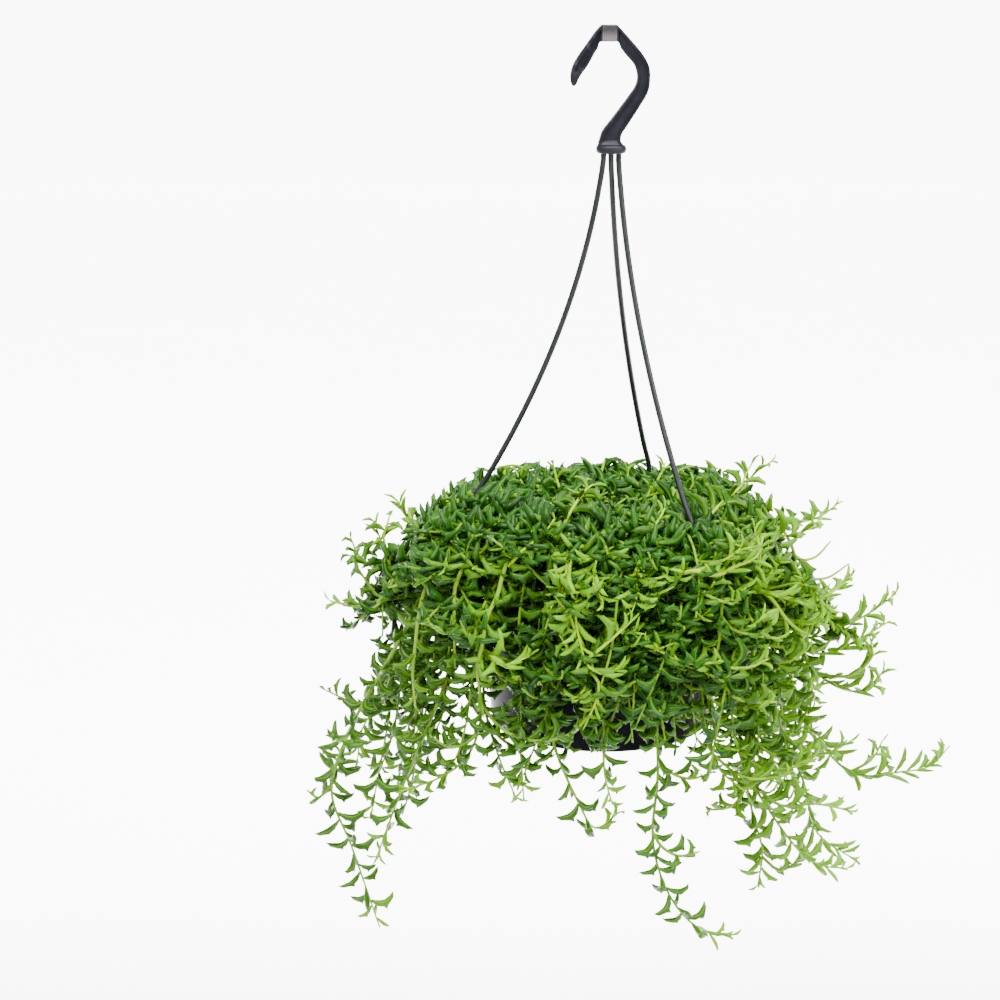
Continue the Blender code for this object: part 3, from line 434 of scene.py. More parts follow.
def crumbTree():  # crumbs and bark chips scattered over the top of the soil
    tree, given, result, sockets = newTree("soilCrumbs", [
        ("Crumb", "Object", None), ("Density", "Float", 1000.0), ("Crumb Size", "Float", 0.001),
        ("Lowest", "Float", 0.0), ("Seed", "Int", 0), ("Finish", "Material", None)])
    normal = addNode(tree, "ShaderNodeSeparateXYZ", Vector=outOf(addNode(tree, "GeometryNodeInputNormal")))
    place = addNode(tree, "ShaderNodeSeparateXYZ", Vector=outOf(addNode(tree, "GeometryNodeInputPosition")))
    onTop = addNode(tree, "FunctionNodeBooleanMath", {"operation": "AND"})
    for socket, axes, least in zip(onTop.inputs, (normal, place), (0.7, given["Lowest"])):
        test = addNode(tree, "FunctionNodeCompare", {"operation": "GREATER_THAN"}, A=axes.outputs[2], B=least)
        tree.links.new(outOf(test), socket)
    scatter = addNode(tree, "GeometryNodeDistributePointsOnFaces", {"distribute_method": "RANDOM"},
                      Mesh=given["Geometry"], Selection=outOf(onTop), Density=given["Density"], Seed=given["Seed"])
    crumb = addNode(tree, "GeometryNodeObjectInfo", Object=given["Crumb"])
    turn = addNode(tree, "FunctionNodeRandomValue", {"data_type": "FLOAT_VECTOR"},
                   Max=(6.28, 6.28, 6.28), Seed=given["Seed"])
    size = addNode(tree, "FunctionNodeRandomValue", {"data_type": "FLOAT_VECTOR"},
                   Min=soil["crumbLeast"], Max=soil["crumbMost"], Seed=soil["sizeSeed"])
    scale = addNode(tree, "ShaderNodeVectorMath", {"operation": "SCALE"}, Vector=outOf(size),
                    Scale=given["Crumb Size"])
    placed = addNode(tree, "GeometryNodeInstanceOnPoints", Points=outOf(scatter, "Points"),
                     Instance=outOf(crumb, "Geometry"), Rotation=outOf(turn), Scale=outOf(scale))
    whole = joined(tree, outOf(placed), given["Geometry"])
    tree.links.new(finished(tree, whole, given["Finish"]), result)
    return tree, sockets


def makeSoil():
    top = pot["rimZ"] - soil["belowRim"]
    foot = pot["rimZ"] - pot["height"] + pot["floor"] + soil["aboveFloor"]
    edge = potRadius(top) - pot["wall"] - soil["slack"]
    profile = [(0.0, top + soil["dome"])]
    for ring in range(1, soil["rings"] + 1):
        share = ring / soil["rings"]
        profile.append((edge * share, top + soil["dome"] * (1.0 - share * share)))
    profile += [(potRadius(foot) - pot["wall"] - soil["slack"], foot), (0.0, foot)]

    def wobble(place, level):  # an uneven top; the rim of the soil and its foot stay even
        if level > soil["rings"] - 1:
            return Vector((0.0, 0.0, 0.0))
        k = round(math.atan2(place.y, place.x) * 30.0)
        return Vector((0.0, 0.0, soil["ripple"] * (draw(level, k) - 0.6)))

    body = turnedMesh("soil", profile, soil["sides"], wobble)
    bm = bmesh.new()
    bmesh.ops.create_icosphere(bm, subdivisions=1, radius=1.0)
    for index, vert in enumerate(bm.verts):
        vert.co *= 0.75 + 0.5 * draw(index, 7)
    crumb = bpy.data.objects.new("crumb", meshOf("crumb", bm))
    tree, sockets = crumbTree()
    body = runTree(tree, sockets, body, {
        "Crumb": crumb, "Density": soil["crumbDensity"], "Crumb Size": soil["crumbSize"],
        "Lowest": top - soil["crumbsUnderTop"], "Seed": soil["seed"], "Finish": soilMaterial()})
    bpy.data.objects.remove(crumb)
    addPiece("soilPlug", body, ["soil"])


# The hook

hook = {
    "thickness": 0.0084, "rimWidth": 0.0015, "pocket": 0.0024, "pocketEnd": 0.02, "slant": 0.0003, "line": 0.0007,
    "stations": 64, "step": 0.0006, "bevel": 0.00030, "bevelFrom": 50.0, "sharpFrom": 20.0,
    "collarX": 0.0018, "collarTop": -0.0622, "collarFoot": -0.0672, "collarHalfLength": 0.0092,
    "collarHalfWidth": 0.0070, "collarSides": 48, "collarSquare": 0.85,
    "saddleHalf": 0.0044, "saddleTop": 0.0096, "saddleDepth": 0.0078, "ribs": 8, "ribSides": 12, "inset": 0.0002,
    "overlap": 0.0004,
    "colour": (0.0052, 0.0058, 0.0100), "worn": (0.030, 0.033, 0.040), "cloud": (0.0110, 0.0105, 0.0170),
    "crease": (0.0006, 0.0008, 0.0012), "saddleDark": (0.026, 0.021, 0.024), "saddlePale": (0.125, 0.106, 0.112),
    "saddleRubbed": (0.115, 0.100, 0.105),
}
armSides = {  # outer and inner edge of each arm in millimetres, and the share of it with no pocket at its ends
    "left": ([(-4.4, 9.6), (-8.0, 5.9), (-14.0, -2.5), (-20.2, -11.5), (-22.6, -16.9), (-23.3, -22.3),
              (-22.8, -25.2), (-21.7, -26.5)],
             [(-4.4, 0.3), (-6.1, -0.7), (-6.9, -3.4), (-9.2, -7.3), (-12.8, -13.9), (-17.8, -21.1),
              (-19.6, -25.0), (-20.6, -26.2)], (0.02, 0.24)),
    "right": ([(4.4, 9.6), (7.0, 7.0), (13.4, 0.0), (20.1, -7.9), (23.4, -13.3), (24.5, -18.1), (24.3, -26.0),
               (23.1, -30.7), (17.5, -40.3), (11.4, -49.9), (8.0, -55.3), (7.4, -58.9), (8.0, -61.0),
               (9.6, -62.8)],
              [(4.4, 0.3), (5.6, -1.0), (6.6, -3.6), (9.3, -7.3), (14.1, -12.7), (16.1, -16.9), (16.9, -22.3),
               (15.5, -27.7), (12.7, -31.9), (6.6, -40.3), (-0.2, -49.3), (-3.8, -54.1), (-5.8, -60.1),
               (-6.4, -62.8)], (0.01, 0.025)),
}


def hookMaterial():
    material, tree, shader, places = newMaterial("hookPlastic", 0.44, 0.22)
    grain = noiseOf(tree, places, 1900.0)
    cloudy = noiseOf(tree, places, 90.0, 4.0)
    edges = outOf(addNode(tree, "ShaderNodeNewGeometry"), "Pointiness")
    colour = mixed(tree, span(tree, cloudy, 0.35, 0.75, 0.0, 0.7), hook["colour"], hook["cloud"])
    # Lighter on the hook's sharp outer edges.
    colour = mixed(tree, span(tree, edges, 0.52, 0.60, 0.0, 0.6), colour, hook["worn"])
    # Painted shade: the hook is painted darker in its concave creases, along the inner corners of its pockets.
    colour = mixed(tree, span(tree, edges, 0.38, 0.485, 0.9, 0.0), colour, hook["crease"])
    dress(tree, shader, colour, span(tree, cloudy, 0.3, 0.7, 0.38, 0.56), grain, 0.35, 0.00012)
    return material


def saddleMaterial():
    material, tree, shader, places = newMaterial("fadingSaddle", 0.62, 0.3)
    height = outOf(addNode(tree, "ShaderNodeSeparateXYZ", Vector=places), "Z")
    rubbed = noiseOf(tree, places, 700.0, 4.0)
    # Darker at the top of the saddle and paler towards its foot.
    colour = mixed(tree, span(tree, height, 0.0015, 0.0075), hook["saddlePale"], hook["saddleDark"])
    colour = mixed(tree, span(tree, rubbed, 0.5, 0.72, 0.0, 0.4), colour, hook["saddleRubbed"])
    dress(tree, shader, colour, None, rubbed, 0.3, 0.0001)
    return material


def evenly(points, count):  # the same smooth line with evenly spaced points
    route = smoothRoute([Vector((x * mm, 0.0, z * mm)) for x, z in points], hook["step"])
    lengths = lengthsAlong(route)
    return [Vector([np.interp(lengths[-1] * k / (count - 1), lengths, [p[axis] for p in route])
                    for axis in range(3)]) for k in range(count)]


def armMesh(outer, inner, bare):  # a flat arm with a raised border round a pocket in both faces
    count, half, ramp = hook["stations"], hook["thickness"] / 2.0, hook["pocketEnd"]
    points, rings = [], []
    for k, (p, q) in enumerate(zip(evenly(outer, count), evenly(inner, count))):
        share, across, width = k / (count - 1), (q - p).normalized(), (q - p).length
        rim = min(hook["rimWidth"], width * 0.3)
        ends = min(max(0.0, (share - bare[0]) / ramp), max(0.0, (1.0 - bare[1] - share) / ramp), 1.0)
        deep = half - hook["pocket"] * ends
        wall = rim + hook["slant"]
        line = wall + min(hook["line"], width * 0.08)
        steps = [(0.0, half), (rim, half), (wall, deep), (line, deep), (width - line, deep), (width - wall, deep),
                 (width - rim, half), (width, half)]
        rings.append(list(range(len(points), len(points) + 2 * len(steps))))
        points += [p + across * step - Vector((0.0, y, 0.0)) for step, y in steps]
        points += [p + across * step + Vector((0.0, y, 0.0)) for step, y in reversed(steps)]
    faces = bridged(rings, len(rings[0])) + [rings[0], rings[-1]]
    return bakedMesh(meshFrom("arm", points, faces), "BEVEL", {
        "width": hook["bevel"], "segments": 3, "limit_method": "ANGLE",
        "angle_limit": math.radians(hook["bevelFrom"])})


def collarMesh():
    top, foot, sides = hook["collarTop"], hook["collarFoot"], hook["collarSides"]
    levels = [(foot, 0.0), (foot, 0.80), (foot + 0.0002, 0.90), (foot + 0.0008, 0.97), (foot + 0.0019, 1.0),
              (foot + 0.0031, 1.0), (top - 0.0008, 0.96), (top - 0.0002, 0.89), (top, 0.80), (top, 0.0)]
    points, rings = [], []
    for z, share in levels:
        count = sides if share else 1
        rings.append(list(range(len(points), len(points) + count)))
        for k in range(count):
            angle = 2.0 * math.pi * k / count
            across = math.copysign(abs(math.cos(angle)) ** hook["collarSquare"], math.cos(angle))
            points.append(Vector((hook["collarX"] + hook["collarHalfLength"] * share * across,
                                  hook["collarHalfWidth"] * share * math.sin(angle), z)))
    return meshFrom("collar", points, bridged(rings, sides))


def ribTree():  # upright ribs side by side across both faces of the saddle
    tree, given, result, sockets = newTree("saddleRibs", [
        ("Count", "Int", 8), ("Pitch", "Float", 0.001), ("Radius", "Float", 0.0005),
        ("Height", "Float", 0.009), ("Depth", "Float", 0.004), ("Finish", "Material", None)])
    left = reckon(tree, "MULTIPLY", reckon(tree, "MULTIPLY_ADD", given["Count"], -0.5, 0.5), given["Pitch"])
    line = addNode(tree, "GeometryNodeMeshLine", Count=given["Count"],
                   Offset=outOf(addNode(tree, "ShaderNodeCombineXYZ", X=given["Pitch"])),
                   StartLocation=outOf(addNode(tree, "ShaderNodeCombineXYZ", X=left)))
    rib = addNode(tree, "GeometryNodeMeshCylinder", Vertices=hook["ribSides"], Radius=given["Radius"],
                  Depth=given["Height"])
    placed = addNode(tree, "GeometryNodeInstanceOnPoints", Points=outOf(line), Instance=outOf(rib, "Mesh"))
    middle = reckon(tree, "MULTIPLY", given["Height"], 0.5)
    rows = []
    for direction in (1.0, -1.0):
        depth = reckon(tree, "MULTIPLY", given["Depth"], direction)
        move = addNode(tree, "ShaderNodeCombineXYZ", Y=depth, Z=middle)
        rows.append(outOf(addNode(tree, "GeometryNodeTransform", Geometry=outOf(placed), Translation=outOf(move))))
    whole = joined(tree, *rows, given["Geometry"])
    tree.links.new(finished(tree, whole, given["Finish"]), result)
    return tree, sockets


def makeHook():
    finish = hookMaterial()
    parts = [armMesh(*sides) for sides in armSides.values()] + [collarMesh()]
    for part in parts:
        part.materials.clear()
        part.materials.append(finish)
    half, deep = hook["saddleHalf"] + hook["overlap"], hook["saddleDepth"] / 2.0
    tall = hook["saddleTop"] - hook["inset"]
    corners = [Vector((x, y, z)) for z in (0.0, tall)
               for x, y in ((-half, -deep), (half, -deep), (half, deep), (-half, deep))]
    block = meshFrom("saddle", corners,
                     [[0, 1, 2, 3], [4, 5, 6, 7], [0, 1, 5, 4], [1, 2, 6, 5], [2, 3, 7, 6], [3, 0, 4, 7]], False)
    tree, sockets = ribTree()
    block = runTree(tree, sockets, block, {
        "Count": hook["ribs"], "Pitch": 2.0 * hook["saddleHalf"] / hook["ribs"],
        "Radius": hook["thickness"] / 2.0 - deep + hook["inset"], "Height": tall,
        "Depth": deep - hook["inset"], "Finish": saddleMaterial()})
    body = joinMeshes("hookBody", parts + [block])
    body.shade_smooth()
    body.set_sharp_from_angle(angle=math.radians(hook["sharpFrom"]))
    addPiece("hookBody", body, ["hook"])


# The hanger strands

strand = {
    "radius": 0.00175, "pitch": 0.0046, "sides": 16, "step": 0.006, "socketDepth": 0.0034,
    "straight": 0.004, "aboveRim": 0.010, "bow": (0.33, 0.67), "bends": 12,
    "buttonRadius": 0.0034, "buttonHeight": 0.0020, "buttonSides": 24, "gap": 0.0003,
    "buttonShape": [(0.0, 1.0), (0.62, 1.0), (0.8, 0.85), (0.97, 0.3), (1.0, 0.08), (0.96, 0.0), (0.0, 0.0)],
    "colour": (0.0065, 0.0085, 0.0095), "pale": (0.019, 0.023, 0.024),
}


def buttonTop():  # close under the rim's flange
    return pot["rimZ"] - pot["flangeHeight"] - strand["gap"]


def strandRoute(azimuth):  # out of its socket in the collar, bowed to the rim, and down through its hole
    order = sorted(hangerAzimuths.values(), key=lambda each: math.cos(math.radians(each))).index(azimuth)
    foot = hook["collarFoot"]
    top = Vector((hook["collarX"] + strand["pitch"] * (order - 1), 0.0, foot + strand["socketDepth"]))
    start = Vector((top.x, top.y, foot - strand["straight"]))
    end = polar(pot["ringRadius"], azimuth, pot["rimZ"] + strand["aboveRim"])
    drop = start.z - end.z
    route = [top]
    for index in range(strand["bends"] + 1):
        t = index / strand["bends"]
        level = start.lerp(end, strand["bow"][0] * t + strand["bow"][1] * t * t)
        route.append(Vector((level.x, level.y, start.z - drop * t)))
    route.append(polar(pot["ringRadius"], azimuth, buttonTop() - strand["buttonHeight"] * 0.5))
    return route


def strandMaterial():
    material, tree, shader, places = newMaterial("strandPlastic", 0.40, 0.35)
    drawn = noiseOf(tree, stretched(tree, places, (900.0, 900.0, 30.0)), 1.0)
    cloudy = noiseOf(tree, places, 60.0)
    colour = mixed(tree, span(tree, drawn, 0.4, 0.75, 0.0, 0.6), strand["colour"], strand["pale"])
    dress(tree, shader, colour, span(tree, cloudy, 0.3, 0.7, 0.33, 0.50), drawn, 0.2, 0.0001)
    return material


def tubeTree():  # a round tube along a chain of edges
    tree, given, result, sockets = newTree("strandTube", [
        ("Radius", "Float", 0.0016), ("Sides", "Int", 12), ("Finish", "Material", None)])
    body = tubeAlong(tree, given["Geometry"], given["Sides"], given["Radius"])
    tree.links.new(finished(tree, body, given["Finish"]), result)
    return tree, sockets


def makeStrands():
    finish = strandMaterial()
    tree, sockets = tubeTree()
    wide, tall = strand["buttonRadius"], strand["buttonHeight"]
    profile = [(wide * out, buttonTop() - tall * down) for out, down in strand["buttonShape"]]
    for name, azimuth in hangerAzimuths.items():
        route = smoothRoute(strandRoute(azimuth), strand["step"])
        chain = bpy.data.meshes.new("chain")
        chain.from_pydata(route, [(k, k + 1) for k in range(len(route) - 1)], [])
        body = runTree(tree, sockets, chain, {"Radius": strand["radius"], "Sides": strand["sides"],
                                              "Finish": finish})
        button = turnedMesh("button", profile, strand["buttonSides"])
        button.transform(Matrix.Translation(polar(pot["ringRadius"], azimuth, 0.0)))
        button.materials.append(finish)
        addPiece("strand_" + name, joinMeshes("strand", [body, button]), ["hanger_" + name])


# The plant's stems, on the same routes as the solids

plant = {
    "rootDepth": 0.008, "lipRadius": 0.0985, "lipHeight": 0.0048, "rootRings": (0.0585, 0.0660, 0.0725),
    "step": 0.005, "clearance": 0.0056, "pushRounds": 30, "pushShare": 0.35, "pushMost": 0.0015,
    "fixedStep": 0.003, "heldMain": 10, "heldCrown": 4, "heldShoot": 3,  # how many first places stay put
    "bunchRadius": 0.0885, "bunchDrop": 0.031, "bunchHalf": (0.0056, 0.0108, 0.0250),
    "backFirst": 21.0, "backLast": 165.0, "backCount": 9, "backMisses": 6.5,
    "stem": 0.00135, "shoot": 0.00105, "tip": 0.00055, "taper": 2.2, "bareStem": 1.12, "bareBend": 3.4,
    "stemSides": 6, "youngLength": 0.026, "trailGap": 0.0056, "moundGap": 0.0055, "bareGap": 0.011,
    "trailLeaf": 1.00, "moundLeaf": 1.12,
}
trailing = {  # azimuth over the rim, then its way in millimetres from the rim's middle
    "outer_left": (203, [(-130, -55, -69), (-158, -60, -120), (-171, -60, -162), (-159, -60, -200),
                         (-142, -60, -256)]),
    "left_mid": (193, [(-126, -22, -76), (-139, -28, -110), (-153, -30, -133), (-156, -30, -152)]),
    "left_inner": (209, [(-108, -58, -32), (-116, -66, -92), (-120, -66, -136)]),
    "left_cut": (215, [(-95, -78, -70), (-110, -82, -112), (-125, -82, -149), (-142, -82, -197)]),
    "left_swing": (221, [(-82, -82, -50), (-77, -90, -101), (-86, -92, -127), (-102, -92, -140),
                         (-126, -92, -149)]),
    "front_left_a": (226, [(-74, -76, -60), (-75, -78, -98), (-66, -80, -132), (-55, -80, -160)]),
    "front_left_b": (239, [(-53, -88, -40), (-54, -90, -100), (-51, -90, -154)]),
    "front_a": (250, [(-37, -97, -50), (-35, -98, -107), (-18, -98, -153), (-7, -98, -171), (8, -98, -160)]),
    "front_b": (268, [(-2, -103, -40), (-2, -101, -133), (3, -101, -154)]),
    "front_long": (286, [(27, -94, -60), (31, -92, -136), (29, -92, -185), (42, -92, -223),
                         (60, -92, -242), (79, -92, -246)]),
    "right_low": (301, [(55, -82, -60), (60, -82, -108), (68, -84, -136), (87, -84, -154)]),
    "right_hook": (313, [(72, -74, -60), (82, -76, -130), (99, -78, -164), (130, -78, -203),
                         (151, -78, -207)]),
    "right_short": (318.5, [(76, -64, -50), (84, -66, -91), (92, -64, -136)]),
    "right_long": (329, [(84, -54, -70), (86, -50, -140), (95, -50, -185), (101, -50, -207),
                         (99, -50, -231)]),
    "side_long": (340.5, [(107, -34, -80), (116, -32, -138), (128, -32, -168), (138, -32, -203),
                          (163, -32, -222)]),
    "side_curl": (346, [(112, -26, -60), (131, -30, -92), (152, -30, -106), (168, -28, -107),
                        (177, -28, -92)]),
    "far_reach": (357, [(112, -4, -70), (129, 0, -133), (145, 0, -158), (166, 0, -176), (196, 0, -174),
                        (214, 0, -170), (226, 0, -156)]),
    "side_short": (3, [(102, 6, -60), (106, 4, -140), (122, 2, -181)]),
    "top_left": (180.5, [(-118, -12, -24), (-131, -16, -34), (-138, -20, -16), (-144, -20, 2)]),
    "rim_left": (174, [(-112, 14, -16), (-124, 12, -6), (-131, 8, 8)]),
}
sideShoots = {  # a side shoot's first place is its fork
    "left_mid": [[(-112, -22, -30), (-126, -34, -42), (-139, -40, -42), (-150, -40, -28), (-158, -40, -14)]],
    "side_long": [[(102, -38, -46), (118, -42, -70), (136, -42, -78), (153, -42, -71), (177, -42, -56)]],
    "outer_left": [[(-170, -60, -158), (-179, -63, -166), (-186, -64, -160)]],
    "left_swing": [[(-77, -89, -90), (-66, -102, -103), (-48, -109, -109), (-23, -111, -104),
                    (-8, -111, -86)]],
    "right_low": [[(66, -83, -128), (84, -90, -141), (110, -90, -140)]],
    "right_hook": [[(92, -77, -150), (108, -84, -162), (129, -86, -160), (152, -86, -165)]],
    "right_long": [[(101, -50, -210), (112, -54, -219), (132, -54, -206)]],
    "side_curl": [[(137, -30, -96), (154, -37, -94), (167, -38, -82), (166, -40, -70)],
                  [(104, -20, -26), (126, -16, -56), (147, -18, -68), (166, -18, -60), (184, -18, -46)]],
    "far_reach": [[(162, 0, -174), (175, -6, -163), (181, -8, -149)]],
    "top_left": [[(-125, -14, -30), (-142, -30, -47), (-157, -32, -50), (-172, -32, -46)]],
    "right_short": [[(73, -64, -26), (78, -84, -24), (88, -92, -10), (90, -92, 8)],
                    [(75, -63, -34), (90, -62, -36), (108, -62, -36), (132, -60, -34), (150, -60, -20)]],
}
bunches = {"a": (199, 98, -74), "b": (231.5, 98, -86), "c": (246, 97, -96), "d": (260.5, 98, -78),
           "e": (275, 99, -82), "f": (293, 98, -88), "g": (322, 98, -80), "h": (336, 98, -84),
           "i": (352, 98, -78), "j": (10, 98, -92), "k": (43, 98, -84), "l": (80, 98, -80),
           "m": (116, 98, -88), "n": (152, 98, -82)}
crownLeaning = [
    [(40, -20, 4), (66, -20, 14), (84, -12, 18), (93, -10, 30), (104, -10, 38)],
    [(42, -6, 4), (72, -24, 13), (104, -32, 4), (131, -32, 8), (142, -32, 16)],
    [(-38, -6, 3), (-72, -12, 14), (-104, -12, 12)],
    [(-30, -30, 3), (-52, -70, 15), (-64, -92, 4)],
    [(6, -42, 3), (10, -88, 14), (4, -118, -12), (0, -120, -48), (-9, -118, -82)],
    [(-16, -38, 3), (-24, -84, 14), (-27, -114, -4), (-31, -116, -22)],
    [(26, -36, 3), (46, -84, 14), (52, -108, -6), (50, -114, -34)],
    [(30, 30, 3), (56, 62, 14), (74, 84, 6)],
    [(-30, 32, 3), (-54, 66, 14), (-74, 88, 4)],
    [(-2, 42, 3), (4, 84, 13), (6, 112, -4)],
]
crownUpright = [(-56, 36, 20), (-32, 40, 25), (18, 50, 18), (41, 44, 22), (-60, -6, 14), (-12, 14, 20),
                (4, -22, 16), (30, 4, 18), (-34, -28, 16), (58, 14, 18), (30, -44, 12), (-10, -50, 12)]


def rootedRoute(azimuth, ring, way):  # out of the soil, over the rim and on along its own way
    rim, soilTop = pot["rimZ"], pot["rimZ"] - soil["belowRim"]
    root = plant["rootRings"][ring % 3]
    deep, lip, lift = plant["rootDepth"], plant["lipRadius"], plant["lipHeight"]
    return routeFrom(way, polar(root, azimuth, soilTop - deep), polar(root, azimuth, soilTop - deep / 3.0),
                     polar(root, azimuth, soilTop + 0.0025), polar(root + 0.0012, azimuth, rim - 0.0005),
                     polar((root + lip) / 2.0 + 0.0015, azimuth, rim + lift),
                     polar(lip, azimuth, rim + lift * 0.4))


def bunchWay(order, azimuth, radius, lowest):
    sway = 5.0 * (draw(order, 3) - 0.5)
    core = plant["bunchRadius"] / mm
    return [polar(radius, azimuth, -7.0), polar(core + 2.0, azimuth, -20.0), polar(core + 1.0, azimuth, -44.0),
            polar(core + 6.0, azimuth + sway, -66.0), polar(radius, azimuth + sway * 1.6, lowest)]


def backWay(order, azimuth):
    ends = abs(math.cos(math.radians(azimuth)))
    belly = 112.0 + 26.0 * ends * (0.6 + 0.4 * draw(order, 5))
    lowest = -(110.0 + 90.0 * draw(order, 6) + 40.0 * ends)
    turn = 14.0 * (draw(order, 7) - 0.5)
    return [polar(belly, azimuth + turn * 0.2, -34.0),
            polar(belly + 14.0 * ends, azimuth + turn * 0.6, lowest * 0.6),
            polar(belly + 10.0 + 24.0 * ends, azimuth + turn, lowest)]


def backAzimuths():  # an even fan that misses the strand at the back
    step = (plant["backLast"] - plant["backFirst"]) / (plant["backCount"] - 1)
    azimuths = []
    for k in range(plant["backCount"]):
        azimuth = plant["backFirst"] + step * k
        if abs(azimuth - hangerAzimuths["back"]) < plant["backMisses"]:
            azimuth += math.copysign(plant["backMisses"], azimuth - hangerAzimuths["back"])
        azimuths.append(azimuth)
    return azimuths


def mainStems():
    rows = [("trail_" + name, azimuth, order, way)
            for order, (name, (azimuth, way)) in enumerate(trailing.items())]
    rows += [("bunch_" + name, place[0], order + 1, bunchWay(order, *place))
             for order, (name, place) in enumerate(bunches.items())]
    rows += [("back_%02d" % (order + 1), azimuth, order, backWay(order, azimuth))
             for order, azimuth in enumerate(backAzimuths())]
    return [(name, rootedRoute(azimuth, ring, way)) for name, azimuth, ring, way in rows]


def sideStems(stems):
    shoots = []
    for name, mainRoute in stems:
        for way in sideShoots.get(name.replace("trail_", ""), []):
            fork = min(mainRoute, key=lambda point: (point - fromRim(way[0])).length)
            shoots.append((name, routeFrom(way[1:], fork)))
    return shoots


def crownStems():
    ways = [[(way[0][0] * 0.55, way[0][1] * 0.55, way[0][2] - 9.0)] + way for way in crownLeaning]
    ways += [[(x * 0.6, y * 0.6, -6.0), (x * 0.86, y * 0.86, z * 0.35), (x, y, z)] for x, y, z in crownUpright]
    return [("crown", routeFrom(way)) for way in ways]


def bunchCorePoints():  # what the stems keep clear of below the rim
    deep, wide, tall = plant["bunchHalf"]
    points = []
    for order, (azimuth, _, _) in enumerate(bunches.values()):
        middle = polar(plant["bunchRadius"], azimuth, pot["rimZ"] - plant["bunchDrop"])
        out, side = polar(1.0, azimuth, 0.0), polar(1.0, azimuth + 90.0, 0.0)
        points += [middle - Vector((0, 0, tall)), middle + Vector((0, 0, tall))]
        for level, lift in enumerate((-0.68, 0.0, 0.68)):
            girth = math.sqrt(1.0 - lift * lift)
            for k in range(6):
                angle = 2.0 * math.pi * (k + 0.5) / 6
                lump = 1.0 - 0.16 * draw(order, level * 8 + k, 23)
                points.append(middle + out * deep * girth * math.cos(angle) * lump
                              + side * wide * girth * math.sin(angle) * lump + Vector((0, 0, tall * lift)))
    return points


def bendClear(routes, fixed, held):  # pushes stems apart, as the solids' routes were
    clouds = [np.array([tuple(point) for point in route]) for route in routes]
    owners = np.concatenate([np.full(len(cloud), k) for k, cloud in enumerate(clouds)]
                            + [np.full(len(fixed), -1)])
    pinned = np.concatenate([np.arange(len(cloud)) < hold for cloud, hold in zip(clouds, held)]
                            + [np.full(len(fixed), True)])
    points = np.vstack(clouds + [fixed])
    for _ in range(plant["pushRounds"]):
        shift = np.zeros_like(points)
        for k in range(len(clouds)):
            own = np.nonzero((owners == k) & ~pinned)[0]
            rest = np.nonzero(owners != k)[0]
            if not len(own):
                continue
            away = points[own][:, None, :] - points[rest][None, :, :]
            distance = np.maximum(np.linalg.norm(away, axis=2), 1e-6)
            push = np.clip(plant["clearance"] - distance, 0.0, None) / distance
            shift[own] += (away * push[:, :, None]).sum(axis=1) * plant["pushShare"]
        for k in range(len(clouds)):
            own = np.nonzero(owners == k)[0]
            soft = shift[own].copy()
            soft[1:-1] = (shift[own][:-2] + 2.0 * shift[own][1:-1] + shift[own][2:]) / 4.0
            shift[own] = soft
        size = np.linalg.norm(shift, axis=1, keepdims=True)
        shift *= np.minimum(1.0, plant["pushMost"] / np.maximum(size, 1e-9))
        points = points + np.where(pinned[:, None], 0.0, shift)
    return [[Vector(row) for row in points[owners == k]] for k in range(len(clouds))]


# More stems that fill the plant out, each in the piece that it hangs nearest to

filler = {
    "goldenAngle": 137.508, "fineStep": 0.004,
    # stems that arch over the rim: their number, spread and root, then how far they lift, sink and drift
    "spills": 132, "reachLeft": 0.142, "reachRight": 0.152, "reachY": 0.108, "shortest": 0.64, "leastReach": 0.101,
    "thinRight": 0.22, "root": (0.022, 0.068), "lift": (0.000, 0.010), "low": -0.010, "deep": -0.092,
    "deeper": [(276.0, 345.0, -0.150), (222.0, 276.0, -0.122), (188.0, 222.0, -0.140)],  # azimuths, depth
    "drift": 92.0, "curl": 0.012, "upturned": 0.38, "wander": 0.018, "lipRadius": 0.094, "clearLip": 0.0945,
    "overRim": 0.0022, "tufts": 2, "fork": 0.90, "edge": 0.124, "sprigFresh": 0.85,
    "stringOver": [(0.056, -0.012), (0.061, -0.002), (0.080, 0.006), (0.0965, 0.001)],  # radius, height at the rim
    "crownShoots": 88, "crownRadius": 0.086, "crownFoot": 0.068, "underSoil": 0.012,
    # the mound's outline from the left to the right, its fall to the back, and how stems stay inside it
    "shoulderX": (-0.164, -0.146, -0.134, -0.122, -0.111, -0.0995, -0.085, -0.055, 0.065, 0.088, 0.100, 0.110,
                  0.125, 0.144, 0.168),
    "shoulderZ": (-0.066, -0.050, -0.036, -0.012, 0.002, 0.011, 0.019, 0.026, 0.026, 0.016, 0.002, -0.018,
                  -0.040, -0.060, -0.078),
    "backSlope": 0.284, "underTop": 0.011, "deepest": 0.116, "rimZone": 0.097,
    "crownWithin": 0.090, "hangsFrom": 12,
}
limeShoots = [  # bright new shoots that the photo shows, in millimetres from the rim's middle
    [(24, -52, 6), (48, -95, -5), (69, -90, -8), (82, -80, -2), (88, -75, 7), (88, -72, 14)],
    [(4, -60, 8), (-8, -104, 6), (-10, -116, -8), (-5, -120, -17)],
    [(-8, -62, 8), (-18, -106, -4), (-21, -116, -28), (-18, -120, -44), (-15, -122, -55)],
    [(-15, -121, -54), (-8, -123, -47), (2, -123, -38), (12, -121, -29)],
    [(-10, -104, -50), (-12, -116, -56), (-10, -121, -60), (-1, -121, -62), (8, -119, -58)],
    [(-12, -117, -62), (-7, -120, -68), (-8, -119, -79), (-12, -117, -90)],
    [(12, -64, 8), (14, -106, -2), (15, -116, -16), (12, -119, -24)],
    [(-16, -60, 8), (-22, -104, 6), (-26, -112, -4), (-31, -114, -17)],
    [(-44, -66, 2), (-70, -90, -20), (-80, -98, -44), (-76, -100, -55), (-63, -112, -60), (-48, -112, -54)],
]
